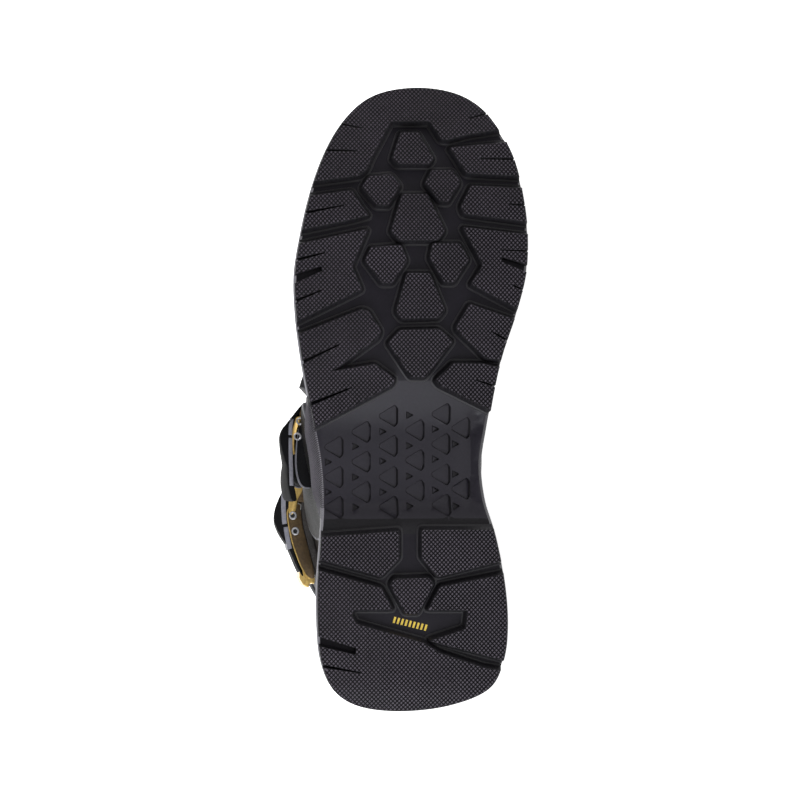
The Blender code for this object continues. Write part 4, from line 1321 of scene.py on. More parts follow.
    def _ridge(self, y: np.ndarray, rise: np.ndarray) -> Shape:
        """One rib: a triangle carried up the side, its crest a third of a millimetre out."""
        steps = np.array(SIDE_STEPS)
        share = y / self.form.length
        outer = self.form.edges_at(y)[0] - np.minimum(hermite(steps[:, 0], steps[:, 1], rise), 0.0008)
        waist = ramp(0.29, 0.36, share) * (1.0 - ramp(0.43, 0.52, share))
        x = outer + self.form.waist_flare * waist * ramp(0.0, 0.7, rise)
        z = self.form.floor_height(y) * (1.0 - rise) + self.form.top_height(y) * rise
        fade = np.sin(math.pi * np.linspace(0.06, 0.94, len(y)))
        crest = np.column_stack([x + 0.00055 * fade, y, z - 0.0001])
        rings = [crest, crest + (-0.0012, 0.0004, 0.0), crest + (-0.0012, -0.0004, 0.0)]
        # Each rib takes the pale ribbed rubber: painted highlight on the outer waist.
        return rod(np.stack(rings, axis=1), 6)

    def bars(self) -> list[Shape]:
        """A row of short slanted bars of paint in the recess of the heel."""
        shapes = []
        for index in range(9):
            middle = np.array((9.5 - 1.95 * index, 46.2 - 0.5 * index))
            lean = np.array((-0.9, 3.0)) / 2.0
            wide = np.array((0.5, 0.13))
            corners = middle + np.array([-lean - wide, wide - lean, lean + wide, lean - wide])
            low = self.form.floor_height(corners[:, 1] * MM)
            rings = np.array([np.column_stack([corners * MM, low + step]) for step in (-0.00006, 0.0003)])
            shapes.append(rod(rings, 4))
        return shapes


@dataclass(frozen=True)
class Upper:
    """The boot's upper as a surface of two parameters.

    Level runs from 0 at the feather edge to 1 at the instep and 2 at the collar. Turn runs round a loop from
    the back along the outer side to the front at pi and on along the inner side.
    """

    sole: SoleForm
    boot_height: float = 0.350
    instep_height: float = 0.125
    collar_width: float = 0.120
    collar_drop: float = 0.014
    shaft_shift: float = 0.003
    wall: float = 0.003
    feather_inset: float = 0.0072
    seat_gap: float = 0.0004
    foot_bluntness: float = 0.75
    shaft_bluntness: float = 0.85

    def _half(self, places: list[np.ndarray], share: np.ndarray) -> np.ndarray:
        """Half width between three values at 0.15, 0.5 and 0.85 of a loop's length, on two joined cubics."""
        low, middle, high = places
        step = 0.35
        at = np.clip((share - 0.15) / step, 0.0, 2.0)
        slopes = (middle - low, (high - low) / 2.0, high - middle)
        first, second = at, at - 1.0
        ahead = low * (2 * first**3 - 3 * first**2 + 1) + slopes[0] * (first - 2 * first**2 + first**3)
        ahead += middle * (3 * first**2 - 2 * first**3) + slopes[1] * (first**3 - first**2)
        beyond = middle * (2 * second**3 - 3 * second**2 + 1)
        beyond += slopes[1] * (second - 2 * second**2 + second**3)
        beyond += high * (3 * second**2 - 2 * second**3) + slopes[2] * (second**3 - second**2)
        return np.where(at <= 1.0, ahead, beyond)

    def _loop(self, table: tuple, width: float, rise: np.ndarray, turn: np.ndarray,
              shaft: bool) -> np.ndarray:
        """Points of one half of the upper, foot or shaft, at a rise of its own table."""
        knots, *columns = np.array(table, float).T
        front, back, *places = (hermite(knots, column, rise) for column in columns)
        share = (1.0 - np.cos(turn)) / 2.0
        blunt = self.foot_bluntness + (self.shaft_bluntness - self.foot_bluntness) * (rise if shaft else 0.0)
        half = self._half(places, share) * width * np.abs(np.sin(turn)) ** blunt
        y = (back + (front - back) * share) * self.sole.length
        outer, inner = self.sole.edges_at(np.clip(y, 0.02 * self.sole.length, 0.985 * self.sole.length))
        swing = 1.0 if shaft else rise
        x = (outer + inner) / 2.0 * (1.0 - swing) + self.shaft_shift * swing
        x = x + np.where(np.sin(turn) >= 0, half, -half)
        if shaft:
            height = self.instep_height + (self.boot_height - self.instep_height) * rise
            return np.stack([x, y, height - self.collar_drop * rise**2 * (1.0 - share)], axis=-1)
        place = turn / math.pi
        run = self.sole.rim(place + 5e-3) - self.sole.rim(place - 5e-3)
        inward = unit(np.stack([-run[..., 1], run[..., 0]], axis=-1))
        edge = self.sole.rim(place) + inward * self.feather_inset
        own = ramp(0.0, 0.36, rise)
        x, y = edge[..., 0] * (1.0 - own) + x * own, edge[..., 1] * (1.0 - own) + y * own
        feather = self.sole.top_height(y) + self.seat_gap
        return np.stack([x, y, feather * (1.0 - rise) + self.instep_height * rise], axis=-1)

    def surface(self, level: np.ndarray, turn: np.ndarray) -> np.ndarray:
        """Points at these levels and turns."""
        level, turn = np.broadcast_arrays(np.asarray(level, float), np.asarray(turn, float) % (2.0 * math.pi))
        foot = self._loop(FOOT_SECTIONS, self.sole.ball_width, np.clip(level, 0.0, 1.0), turn, False)
        shaft = self._loop(SHAFT_SECTIONS, self.collar_width, np.clip(level - 1.0, 0.0, 1.0), turn, True)
        return np.where((level < 1.0)[..., None], foot, shaft)

    def normal(self, level: np.ndarray, turn: np.ndarray) -> np.ndarray:
        """Outward directions: the cross product of the way round and the way up."""
        level = np.clip(level, 0.012, 1.988)
        around = self.surface(level, turn + 0.01) - self.surface(level, turn - 0.01)
        rising = self.surface(level + 0.01, turn) - self.surface(level - 0.01, turn)
        return unit(np.cross(around, rising))

    def lifted(self, level: np.ndarray, turn: np.ndarray, lift: np.ndarray) -> np.ndarray:
        """Points that stand this far in metres off the surface."""
        return self.surface(level, turn) + self.normal(level, turn) * np.asarray(lift, float)[..., None]

    def find(self, along: np.ndarray, up: np.ndarray, side: Side) -> tuple[np.ndarray, np.ndarray]:
        """Level and turn of points given as seen from the side, by Newton's steps on level and share.

        Args:
            along: Places along the boot in metres.
            up: Heights in metres.
            side: The side of the boot.

        Returns:
            Their levels and turns.
        """
        along, up = np.broadcast_arrays(np.asarray(along, float), np.asarray(up, float))
        level = np.where(up < self.instep_height, up / self.instep_height,
                         1.0 + (up - self.instep_height) / (self.boot_height - self.instep_height))
        share = np.full(along.shape, 0.5)
        for _ in range(9):
            here = self._seen(level, share, side)
            rising = (self._seen(level + 1e-3, share, side) - here) / 1e-3
            going = (self._seen(level, share + 1e-3, side) - here) / 1e-3
            off = np.stack([along, up], axis=-1) - here
            area = rising[..., 0] * going[..., 1] - rising[..., 1] * going[..., 0]
            area = np.where(np.abs(area) < 1e-9, 1e-9, area)
            higher = (off[..., 0] * going[..., 1] - off[..., 1] * going[..., 0]) / area
            further = (rising[..., 0] * off[..., 1] - rising[..., 1] * off[..., 0]) / area
            level = np.clip(level + np.clip(higher, -0.3, 0.3), 0.0, 1.999)
            share = np.clip(share + np.clip(further, -0.3, 0.3), 0.0005, 0.9995)
        turn = np.arccos(1.0 - 2.0 * share)
        return level, turn if side is Side.OUTER else 2.0 * math.pi - turn

    def _seen(self, level: np.ndarray, share: np.ndarray, side: Side) -> np.ndarray:
        """Place along and height of the point at a level and share of its loop's length."""
        turn = np.arccos(np.clip(1.0 - 2.0 * share, -1.0, 1.0))
        return self.surface(level, turn if side is Side.OUTER else 2.0 * math.pi - turn)[..., 1:]


@dataclass
class UpperShell:
    """The hollow upper: leather outside with its creases, a wall, cloth inside and a rounded rim."""

    form: Upper
    around: int = 232
    foot_rows: int = 52
    shaft_rows: int = 66
    wave: float = 0.00018

    def creased(self, points: np.ndarray) -> np.ndarray:
        """How far the leather stands off its plain surface, in metres.

        Each crease is a bell-shaped valley along its line with a low ridge on either side, and fades at both
        ends.
        """
        lift = np.zeros(points.shape[:-1])
        spot = points[..., 1:] / MM
        for start_y, start_z, end_y, end_z, side, depth, width in CREASES:
            start, end = np.array((start_y, start_z), float), np.array((end_y, end_z), float)
            run = end - start
            share = ((spot - start) @ run) / (run @ run)
            drift = np.sin(share * 9.0 + start_y) * 1.4
            square = np.array((-run[1], run[0])) / np.linalg.norm(run)
            across = np.abs((spot - start) @ square + drift) / width
            fade = ramp(-0.08, 0.2, share) * (1.0 - ramp(0.8, 1.08, share))
            if side:
                fade = fade * ramp(0.0, 12.0, points[..., 0] / MM * side)
            lift += depth * MM * fade * (0.4 * np.exp(-((across - 1.7) ** 2)) - np.exp(-(across**2)))
        x, y, z = points[..., 0], points[..., 1], points[..., 2]
        ripple = np.sin(y * 160 + 3 * np.sin(z * 90)) * np.sin(z * 210 + 2 * np.sin(x * 120))
        return np.minimum(lift, 0.0009) + self.wave * (ripple - 1.0)

    def build(self, shop: Workshop) -> None:
        """Makes the upper."""
        foot, shaft = np.linspace(0, 1, self.foot_rows, endpoint=False), np.linspace(1, 2, self.shaft_rows)
        level = np.concatenate([foot, shaft])
        turn = np.arange(self.around) * 2.0 * math.pi / self.around
        level, turn = np.meshgrid(level, turn, indexing="ij")
        plain, normal = self.form.surface(level, turn), self.form.normal(level, turn)
        outer = plain + normal * self.creased(plain)[..., None]
        inner = plain - normal * self.form.wall
        inner[0, :, 2] = outer[0, :, 2] = plain[0, :, 2]
        crest = plain[-1] - normal[-1] * self.form.wall / 2.0 + (0.0, 0.0, 0.0009)
        outer = np.concatenate([outer, [plain[-1] - normal[-1] * 0.0005 + (0, 0, 0.0006), crest]])
        inner = np.concatenate([inner, [inner[-1] + normal[-1] * 0.0005 + (0, 0, 0.0006), crest]])
        shop.make("upper_looks", slab(outer, inner, True, 0, 1), [LEATHER, LINING],
                  ("upper",))


class Pattern(Enum):
    """How a guard's face is moulded."""

    DOTTED = "dotted"
    RIBBED = "ribbed"
    STEPPED = "stepped"


@dataclass(frozen=True)
class Relief:
    """A moulded pattern of a guard: how high it stands in mm and its pitch in mm."""

    pattern: Pattern
    height: float
    pitch: float

    def lift(self, seen: np.ndarray, far: np.ndarray) -> np.ndarray:
        """Its height over the guard's face.

        Ribs are rounded waves along slanted lines, dots are the product of two waves, and a step is a raised
        field with a groove round it. Each fades out towards the edge.

        Args:
            seen: Points seen from the side, in mm.
            far: Distance from the guard's edge in metres.

        Returns:
            Heights in metres.
        """
        inside_edge = ramp(0.003, 0.006, far)
        if self.pattern is Pattern.RIBBED:
            wave = 0.5 + 0.5 * np.sin((seen[..., 1] + 0.35 * seen[..., 0]) * 2.0 * math.pi / self.pitch)
            return -self.height * MM * inside_edge * (1.0 - ramp(0.15, 0.55, wave))
        if self.pattern is Pattern.DOTTED:
            first = np.sin((seen[..., 0] + seen[..., 1]) * math.pi / self.pitch)
            second = np.sin((seen[..., 0] - seen[..., 1]) * math.pi / self.pitch)
            return self.height * MM * inside_edge * np.abs(first * second)
        groove = np.exp(-(((far - 0.0075) / 0.0011) ** 2))
        field_height = ramp(0.0085, 0.0105, far)
        return self.height * MM * (field_height - 1.1 * groove)


@dataclass
class Guards:
    """The moulded guards that lie on the upper, each a shell with rounded edges."""

    form: Upper
    gap: float = 0.0003
    thickness: float = 0.0025
    edge: float = 0.0022
    pipe: float = 0.0009

    def crowned(self, far: np.ndarray) -> np.ndarray:
        """Height of a guard at a distance from its edge: a quarter round at the edge, then flat."""
        share = np.clip(far / self.edge, 0.0, 1.0)
        return self.gap + self.thickness * np.sqrt(np.maximum(1.0 - (1.0 - share) ** 2, 0.02))

    def patch(self, outline: Line, side: Side, relief: Relief) -> tuple[list[Shape], np.ndarray]:
        """A guard on one side, laid out in rings from its middle to its outline.

        Args:
            outline: Its corners in shares of length and height, seen from the side.
            side: The side of the boot.
            relief: Its surface pattern.

        Returns:
            The shapes, and the points of its outline's edge.
        """
        corners = np.array(outline, float) * (self.form.sole.length, self.form.boot_height)
        loop = rounded(corners, 0.014, True, 9)
        loop, _ = divided(loop, np.zeros(len(loop)), 0.0022)
        middle = loop.mean(axis=0)
        reach = np.concatenate([np.linspace(0.0, 0.9, 34), (0.925, 0.95, 0.965, 0.98, 0.99, 1.0)])
        seen = middle + (loop - middle)[None] * reach[:, None, None]
        level, turn = self.form.find(seen[..., 0], seen[..., 1], side)
        far = (1.0 - reach)[:, None] * np.linalg.norm(loop - middle, axis=1)[None]
        lift = self.crowned(far) + relief.lift(seen / MM, far)
        outer = self.form.lifted(level, turn, lift)
        inner = self.form.lifted(level, turn, np.full(level.shape, self.gap * 0.8))
        return slab(outer, inner, True), outer[-2]

    def wrap(self, border: Line, front: bool, relief: Relief) -> list[Shape]:
        """A guard that wraps round the front or the back, in rows between its two side edges.

        Args:
            border: Its side edge from the bottom up, in shares of length and height.
            front: Whether it wraps round the front.
            relief: Its surface pattern.

        Returns:
            The shapes.
        """
        corners = np.array(border, float) * (self.form.sole.length, self.form.boot_height)
        line = rounded(corners, 0.012, False, 7)
        spans = np.concatenate([[0.0], np.cumsum(np.linalg.norm(np.diff(line, axis=0), axis=1))])
        at = np.linspace(0.0, spans[-1], max(12, int(spans[-1] / 0.0018)))
        brim = np.array((0.0004, 0.0008, 0.0013))
        at = np.unique(np.concatenate([at, spans[-1] - brim, brim]))
        line = np.column_stack([np.interp(at, spans, line[:, 0]), np.interp(at, spans, line[:, 1])])
        level, turn = self.form.find(line[:, 0], line[:, 1], Side.OUTER)
        share = np.linspace(0.02, 0.98, 110)
        share = np.concatenate([(0, 0.003, 0.007, 0.012), share, (0.988, 0.993, 0.997, 1)])
        start, end = (turn, 2 * math.pi - turn) if front else (-turn, turn)
        turns = start[:, None] * (1 - share) + end[:, None] * share
        levels = np.broadcast_to(level[:, None], turns.shape)
        plain = self.form.surface(levels, turns)
        rows = np.linalg.norm(np.diff(plain, axis=0), axis=2)
        rows = np.concatenate([np.zeros((1, rows.shape[1])), np.cumsum(rows, axis=0)])
        columns = np.linalg.norm(np.diff(plain, axis=1), axis=2)
        columns = np.concatenate([np.zeros((len(plain), 1)), np.cumsum(columns, axis=1)], axis=1)
        far = np.minimum(np.minimum(rows, rows[-1:] - rows), np.minimum(columns, columns[:, -1:] - columns))
        lift = self.crowned(far) + relief.lift(plain[..., 1:] / MM, far)
        outer = self.form.lifted(levels, turns, lift)
        inner = self.form.lifted(levels, turns, np.full(turns.shape, self.gap * 0.8))
        return slab(outer, inner)

    def piping(self, line: np.ndarray) -> Shape:
        """A round cord along a closed line: a circle carried along it, square to its direction."""
        run = unit(np.roll(line, -1, axis=0) - np.roll(line, 1, axis=0))
        side = unit(np.cross(run, unit(line - line.mean(axis=0) + 1e-6)))
        other = np.cross(run, side)
        turn = np.arange(8) * math.pi / 4.0
        ring = side[:, None] * np.cos(turn)[None, :, None] + other[:, None] * np.sin(turn)[None, :, None]
        tube = line[:, None] + ring * self.pipe
        tube = np.concatenate([tube, tube[:1]])
        return Shape(tube.reshape(-1, 3), quads(len(tube), 8, True), 1)

    def build(self, shop: Workshop) -> None:
        """Makes the guards."""
        ankle = ((.245, .270), (.270, .205), (.340, .165), (.430, .165), (.485, .215), (.490, .290),
                 (.440, .355), (.360, .375), (.285, .365), (.250, .325))
        heat = ((.085, .430), (.070, .880), (.395, .880), (.395, .540), (.330, .400), (.150, .390))
        shapes, line = self.patch(ankle, Side.OUTER, Relief(Pattern.DOTTED, 0.35, 3.2))
        shapes.append(self.piping(line))
        shop.make("ankle_guard_looks", shapes, [GUARD, PIPING], ("ankle_guard",))
        shapes, _ = self.patch(heat, Side.INNER, Relief(Pattern.RIBBED, 0.9, 7.0))
        shop.make("heat_guard_looks", shapes, [GRIP], ("heat_guard",))
        for name, border, front, relief in (
            ("toe_cap", ((.755, .0), (.790, .14), (.850, .21)), True, Relief(Pattern.STEPPED, 0.6, 9.0)),
            ("heel_counter", ((.235, .0), (.215, .150), (.130, .225), (-.02, .235)), False,
             Relief(Pattern.STEPPED, 0.6, 9.0)),
            ("shin_plate", ((.440, .555), (.430, .640), (.430, .900)), True,
             Relief(Pattern.STEPPED, 0.9, 8.0)),
            ("calf_panel", ((.045, .400), (.060, .440), (.060, .550), (.035, .880)), False,
             Relief(Pattern.RIBBED, 0.7, 8.0)),
        ):
            shop.make(f"{name}_looks", self.wrap(border, front, relief), [GUARD], (name,))
        self.cuff(shop)

    def cuff(self, shop: Workshop) -> None:
        """The padded collar: two rolls round the shaft below the rim, each a bow between two seams."""
        start = 1.0 + (0.915 * self.form.boot_height - self.form.instep_height) / (
            self.form.boot_height - self.form.instep_height)
        share = np.linspace(0.0, 1.0, 41)
        level = start + (1.995 - start) * share
        turn = np.arange(220) * 2.0 * math.pi / 220
        level, turn = np.meshgrid(level, turn, indexing="ij")
        rolls = np.abs(np.sin(share * 2.0 * math.pi)) ** 0.55
        pucker = 0.00018 * np.sin(turn * 46.0) * (1.0 - rolls[:, None])
        outer = self.form.lifted(level, turn, 0.0007 + 0.0030 * rolls[:, None] + pucker)
        inner = self.form.lifted(level, turn, np.full(level.shape, 0.00025))
        cuff = shop.make("collar_cuff_looks", slab(outer, inner, True), [CLOTH],
                         ("collar_cuff",))


@dataclass
class Buckles:
    """Three straps round the front, each with its buckle on the outer side.

    A buckle is laid out in mm along the strap from its rear end, across it, and up from the upper.
    """

    form: Upper
    strap_low: float = 3.1
    strap_thick: float = 3.0
    plate_half: float = 11.2
    base_half: float = 13.0
    lever_half: float = 13.3
    cover_half: float = 12.9
    strap_start: float = 61.6
    pin_half: float = 13.75

    def line(self, plan: StrapPlan) -> tuple[np.ndarray, np.ndarray]:
        """Where a strap's rear end is and which way it runs, seen from the side in metres."""
        sizes = (self.form.sole.length, self.form.boot_height)
        rear, front = (np.array(end) * sizes for end in (plan.rear, plan.front))
        return rear, unit(front - rear)

    def laid(self, plan: StrapPlan, along: np.ndarray, across: np.ndarray, up: np.ndarray) -> np.ndarray:
        """Points of a buckle on the upper.

        Args:
            plan: The strap's plan.
            along: Along the strap in mm.
            across: Across it in mm.
            up: Off the upper in mm.

        Returns:
            The points.
        """
        rear, way = self.line(plan)
        along, across, up = np.broadcast_arrays(*(np.asarray(item, float) for item in (along, across, up)))
        along = along + plan.skew * (across + self.base_half)
        seen = rear + (along[..., None] * way + across[..., None] * np.array((-way[1], way[0]))) * MM
        level, turn = self.form.find(seen[..., 0], seen[..., 1], Side.OUTER)
        return self.form.lifted(level, turn, up * MM)

    def bar(self, plan: StrapPlan, profile: np.ndarray, low: float, high: float, finish: int,
            soft: float = 0.5) -> Shape:
        """A profile of along and up carried across the strap, drawn in at both ends for a round edge.

        Args:
            plan: The strap's plan.
            profile: A closed outline of along and up in mm.
            low: Where across it starts in mm.
            high: Where it ends.
            finish: Number of the finish.
            soft: How round its ends are, in mm.

        Returns:
            The closed shape.
        """
        loop, _ = divided(np.asarray(profile, float), np.zeros(len(profile)), 2.2)
        stops = [(low, -soft), (low + 0.3 * soft, -0.3 * soft), (low + soft, 0.0)]
        stops += [(place, 0.0) for place in np.linspace(low + soft, high - soft, 5)[1:-1]]
        stops += [(high - soft, 0.0), (high - 0.3 * soft, -0.3 * soft), (high, -soft)]
        rings = np.array([shifted(loop, np.full(len(loop), off)) if off else loop for _, off in stops])
        places = np.array([place for place, _ in stops])[:, None]
        return rod(self.laid(plan, rings[..., 0], places, rings[..., 1]), finish)

    def strap(self, plan: StrapPlan) -> list[Shape]:
        """The band round the front, in rows across it: the lines in which slanted planes meet the upper."""
        rear, way = self.line(plan)
        square = np.array((-way[1], way[0]))
        rows = np.concatenate([(-15.0, -14.6, -13.6), np.linspace(-12.4, 12.4, 13), (13.6, 14.6, 15.0)])
        share = np.linspace(0.0, 1.0, 241)
        grids = []
        start = rear + (way * self.strap_start + square * rows[:, None]) * MM
        level, turn = self.form.find(start[:, 0], start[:, 1], Side.OUTER)
        turns = turn[:, None] * (1.0 - share) + (2.0 * math.pi - turn[:, None]) * share
        levels = np.broadcast_to(level[:, None], turns.shape).copy()
        for _ in range(14):
            here = self.form.surface(levels, turns)[..., 1:]
            rising = (self.form.surface(levels + 1e-3, turns)[..., 1:] - here) / 1e-3
            off = (here - start[:, None]) @ square
            levels = np.clip(levels - np.clip(off / np.maximum(rising @ square, 0.02), -0.1, 0.1), 0.0, 1.999)
        path = np.linalg.norm(np.diff(self.form.surface(levels, turns), axis=1), axis=2)
        path = np.concatenate([np.zeros((len(rows), 1)), np.cumsum(path, axis=1)], axis=1) / MM
        teeth = 0.5 + 0.5 * np.sin(path * 2.0 * math.pi / 4.4)
        span = ramp(2.0, 5.0, path) * (1.0 - ramp(52.0, 56.0, path)) * (np.abs(rows)[:, None] < 9.5)
        ridge = 0.55 * np.exp(-(((np.abs(rows)[:, None] - 12.0) / 1.0) ** 2))
        beyond = np.maximum(np.abs(rows) - 13.6, 0.0) / 1.6
        lift = self.strap_thick * np.sqrt(np.clip(1.0 - beyond**2, 0.06, 1.0))
        lift = lift[:, None] - 0.7 * span * (1.0 - teeth) + ridge
        raised = plan.raised * (1.0 - ramp(0.0, 70.0, path))
        for up in (self.strap_low + lift, np.full(turns.shape, self.strap_low)):
            grids.append(self.form.lifted(levels, turns, (up + raised) * MM))
        return slab(grids[0], grids[1])

    @staticmethod
    def edging(line: tuple, out: float, under: float) -> np.ndarray:
        """A thin outline along an open line: the line moved out, and back along it moved under."""
        line = rounded(np.array(line, float), 2.0, False)
        run = np.gradient(line, axis=0)
        side = unit(np.column_stack([-run[:, 1], run[:, 0]]))
        side = side * np.copysign(1.0, side[:, 1:].mean())
        return np.concatenate([line + side * out, (line - side * under)[::-1]])

    def base(self, plan: StrapPlan) -> list[Shape]:
        """The base: a core, two flanges with an edging, the clip at the rear end and the pad under it."""
        flange = rounded(np.array(plan.base, float), 1.8, True)
        core = shifted(flange, np.full(len(flange), -0.5))
        shapes = [self.bar(plan, core, -self.plate_half, self.plate_half, 0, 0.2)]
        for first, last in ((-self.base_half, -self.plate_half), (self.plate_half, self.base_half)):
            shapes.append(self.bar(plan, flange, first, last, 0, 0.3))
            shapes.append(self.bar(plan, self.edging(plan.edge, 0.35, 0.45), first - 0.2, last + 0.2, 1, 0.2))
        if plan.clip:
            shapes.append(self.bar(plan, rounded(np.array(plan.clip, float), 0.8, True), -12.6, 12.6, 2, 0.4))
        if plan.pad:
            shapes.append(self.bar(plan, plan.pad, -12.4, 12.4, 3, 0.5))
        return shapes

    def lever(self, plan: StrapPlan) -> list[Shape]:
        """The hook-shaped lever: a leaf with its point forward, and a darker heart beside it."""
        leaf = rounded(np.array(plan.lever, float), 1.2, True)
        return [self.bar(plan, leaf, -self.lever_half, self.lever_half, 0, 0.7),
                self.bar(plan, plan.heart, 0.4 - self.lever_half, self.lever_half - 0.4, 1, 0.4)]

    def cover(self, plan: StrapPlan) -> list[Shape]:
        """The arched cover with two pale strips along its lower edge, which are its painted highlight."""
        arch = rounded(np.array(plan.cover, float), 1.5, True)
        shapes = [self.bar(plan, arch, -self.cover_half, self.cover_half, 0, 0.5)]
        for line in plan.strips:
            strip = self.edging(line, plan.strip_half, plan.strip_half)
            shapes.append(self.bar(plan, strip, -self.cover_half - 0.25, self.cover_half + 0.25, 1, 0.3))
        return shapes

    def pin(self, plan: StrapPlan, place: float, middle: float) -> list[Shape]:
        """A hollow pin: a turned ring at both ends, its shallow bore closed by a dark cap that is painted
        shade of the bore.
        """
        turn = np.arange(20) * math.pi / 10.0
        wheel = np.column_stack([np.cos(turn), np.sin(turn)])
        half = self.pin_half
        ends = ((half - 0.7, 1.15), (half - 0.1, 1.35), (half, 1.7), (half - 0.15, 2.15), (half - 0.55, 2.3))
        stops = np.array([(-across, radius) for across, radius in ends] + list(ends[::-1]))
        body = self.laid(plan, place + wheel[None, :, 0] * stops[:, 1:], stops[:, :1],
                         middle + wheel[None, :, 1] * stops[:, 1:])
        shell = Shape(body.reshape(-1, 3), quads(len(stops), 20, True), 0)
        # The caps take the near-black bore finish: painted shade inside the bore.
        caps = Shape(body[[0, -1]].reshape(-1, 3), [tuple(range(20)), tuple(range(20, 40))], 1)
        return [shell, caps]

    def build(self, shop: Workshop) -> None:
        """Makes the straps and buckles."""
        for name, plan in STRAPS.items():
            metals = [COVER, PIPING, GOLD, COVER] if name == "instep" else [BRONZE, GOLD, GOLD, LEATHER]
            shop.make(f"{name}_strap_looks", self.strap(plan), [BAND], (f"{name}_strap",))
            shop.make(f"{name}_base_looks", self.base(plan), metals,
                      (f"{name}_buckle_base",))
            shop.make(f"{name}_lever_looks", self.lever(plan), [GOLD, BRONZE],
                      (f"{name}_buckle_lever",))
            shop.make(f"{name}_cover_looks", self.cover(plan), [COVER, EDGE_HIGHLIGHT_STRIP],
                      (f"{name}_buckle_cover",))
            for number, (place, middle) in enumerate(plan.pins, start=1):
                shop.make(f"{name}_pin_{number}_looks", self.pin(plan, place, middle), [STEEL, BORE_SHADE],
                          (f"{name}_pin_{number}",))


@dataclass
class Trims:
    """The insole and the webbing pull loop."""

    form: Upper
    clearance: float = 0.002
    thickness: float = 0.004
    loop_radius: float = 0.015
    loop_thick: float = 0.0022

    def insole(self, shop: Workshop) -> None:
        """The insole: rings from its middle line to its edge, cupped a little at the rim."""
        place = np.arange(160) * 2.0 / 160
        sole = self.form.sole
        run = sole.rim(place + 5e-3) - sole.rim(place - 5e-3)
        inset = self.form.feather_inset + self.form.wall + self.clearance
        edge = sole.rim(place) + unit(np.stack([-run[:, 1], run[:, 0]], axis=1)) * inset
        outer, inner = sole.edges_at(np.clip(edge[:, 1], 0.02, 0.31))
        spine = np.column_stack([(outer + inner) / 2.0, np.clip(edge[:, 1], 0.06, 0.26)])
        reach = np.linspace(0.0, 1.0, 14)
        flat = spine[None] * (1.0 - reach)[:, None, None] + edge[None] * reach[:, None, None]
        low = sole.top_height(flat[..., 1]) + self.form.seat_gap
        cup = 0.0006 * reach[:, None] ** 3 - 0.0008 * np.clip(reach[:, None] - 0.93, 0.0, 1.0) / 0.07
        upper = np.concatenate([flat, (low + self.thickness + cup)[..., None]], axis=2)
        lower = np.concatenate([flat, low[..., None]], axis=2)
        pad = shop.make("insole_looks", slab(upper, lower, True), [LINING], ("insole",))

    def loop(self, shop: Workshop) -> None:
        """The pull loop: a flat band carried round half a circle, standing on the back of the collar."""
        seat = self.form.surface(np.array(2.0), np.array(0.0))
        turn = np.linspace(0.0, math.pi, 33)
        half = self.form.wall / 2.6
        middle = seat[1] + self.form.wall / 2.0
        rings = []
        for radius, side in ((0.0, -1), (0.0, 1), (1.0, 1), (1.0, -1)):
            size = self.loop_radius - self.loop_thick * (1.0 - radius)
            rings.append(np.column_stack([seat[0] + np.cos(turn) * size, np.full(33, middle + side * half),
                                          seat[2] + 0.0003 + np.sin(turn) * size]))
        shop.make("pull_loop_looks", [rod(np.stack(rings, axis=1))], [CLOTH], ("pull_loop",))

    def build(self, shop: Workshop) -> None:
        """Makes both."""
        self.insole(shop)
        self.loop(shop)


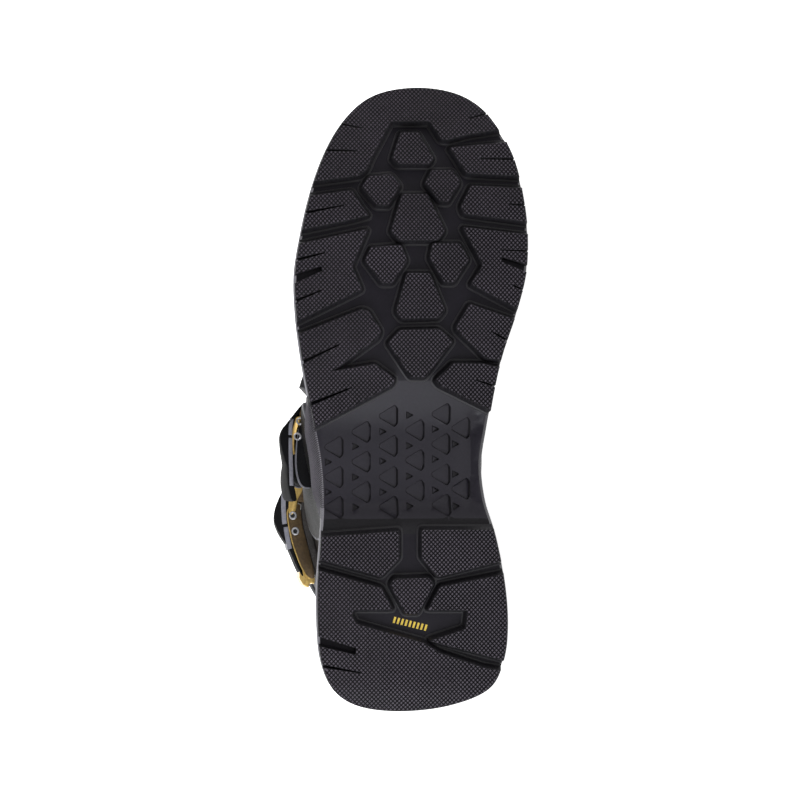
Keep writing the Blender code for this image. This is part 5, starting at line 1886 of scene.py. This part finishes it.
@dataclass
class Studio:
    """Camera, floor, backdrop and lights."""

    workshop: Workshop
    target: tuple[float, float, float] = (0.0071, 0.1558, 0.0)
    distance: float = 0.68
    swing: float = 3.8
    frame_width: float = 0.3955

    def camera(self) -> None:
        """Sets the camera square to the sole, swung a little to the outer side, with the toe up."""
        turn = self.workshop.turn
        angle = math.radians(self.swing)
        away = turn @ np.array((math.sin(angle), 0.0, -math.cos(angle)))
        spot = self.workshop.laid(np.array(self.target)) + away * self.distance
        back = unit(away)
        right = unit(np.cross(turn[:, 1], back))
        up = np.cross(back, right)
        data = bpy.data.cameras.new("camera")
        data.sensor_width = 36.0
        data.lens = 36.0 * self.distance / self.frame_width
        data.clip_start, data.clip_end = 0.01, 20.0
        camera = bpy.data.objects.new("camera", data)
        matrix = np.eye(4)
        matrix[:3, :3], matrix[:3, 3] = np.column_stack([right, up, back]), spot
        camera.matrix_world = Matrix(matrix.tolist())
        bpy.context.scene.collection.objects.link(camera)
        bpy.context.scene.camera = camera

    def plain(self, name: str, corners: list[tuple[float, float, float]], glow: float) -> None:
        """A plain pale sheet of the stage."""
        mesh = bpy.data.meshes.new(name)
        mesh.from_pydata(corners, [], [(0, 1, 2, 3)])
        material = bpy.data.materials.new(name)
        material.use_nodes = True
        shader = material.node_tree.nodes["Principled BSDF"]
        shader.inputs["Base Color"].default_value = (0.9, 0.9, 0.9, 1.0)
        shader.inputs["Roughness"].default_value = 1.0
        shader.inputs["Specular IOR Level"].default_value = 0.0
        shader.inputs["Emission Color"].default_value = (1.0, 1.0, 1.0, 1.0)
        shader.inputs["Emission Strength"].default_value = glow
        mesh.materials.append(material)
        sheet = bpy.data.objects.new(name, mesh)
        bpy.context.scene.collection.objects.link(sheet)

    def lamp(self, name: str, spot: tuple, aim: tuple, size: tuple, power: float, tint: tuple) -> None:
        """A soft box that stands at a spot and looks at a point."""
        data = bpy.data.lights.new(name, "AREA")
        data.shape = "RECTANGLE"
        data.size, data.size_y = size
        data.energy, data.color = power, tint
        lamp = bpy.data.objects.new(name, data)
        back = Vector(spot) - Vector(aim)
        lamp.matrix_world = Matrix.Translation(spot) @ back.to_track_quat("Z", "Y").to_matrix().to_4x4()
        bpy.context.scene.collection.objects.link(lamp)

    def build(self) -> None:
        """Sets up the whole studio."""
        self.camera()
        self.plain("floor", [(-40, -40, 0), (40, -40, 0), (40, 40, 0), (-40, 40, 0)], 0.95)
        self.plain("backdrop", [(-4, -4, -0.01), (-4, 4, -0.01), (-4, 4, 5), (-4, -4, 5)], 1.1)
        world = bpy.data.worlds.new("studio")
        world.use_nodes = True
        world.node_tree.nodes["Background"].inputs["Color"].default_value = (1.0, 1.0, 1.0, 1.0)
        world.node_tree.nodes["Background"].inputs["Strength"].default_value = 0.2
        bpy.context.scene.world = world
        bpy.context.scene.view_settings.view_transform = "Standard"
        self.lamp("key", (0.9, -0.75, 0.16), (0.15, 0.0, 0.06), (0.5, 0.35), 8.5, (0.93, 0.95, 1.0))
        self.lamp("top", (0.55, 0.1, 1.2), (0.1, 0.0, 0.05), (0.9, 0.9), 3.6, (1.0, 1.0, 1.0))
        self.lamp("toe", (0.6, 0.95, 0.25), (0.15, 0.13, 0.06), (0.3, 0.3), 1.3, (0.98, 0.95, 1.0))


def main(frame: dict) -> None:
    """Builds every sub-assembly in order.
    """
    logging.basicConfig(level=logging.INFO, format="%(name)s: %(message)s")
    workshop = Workshop(frame)
    form = SoleForm()
    body = SoleBody(form)
    finishes = [RUBBER, WALL_SHADE_RUBBER, FLOOR_SHADE_RUBBER, SIDE_RUBBER, YELLOW, GROOVE_SHADE_RUBBER, RIB_HIGHLIGHT_RUBBER, RIM_HIGHLIGHT_RUBBER,
                ARCH_SHADE_RUBBER]
    workshop.make("outsole_looks", Tread(form).lugs() + body.shapes() + body.ribs() + body.bars(), finishes,
                  ("outsole",))
    upper = Upper(form)
    UpperShell(upper).build(workshop)
    Guards(upper).build(workshop)
    Buckles(upper).build(workshop)
    Trims(upper).build(workshop)
    Studio(workshop).build()


if __name__ == "__main__":
    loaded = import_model()
    main(loaded)
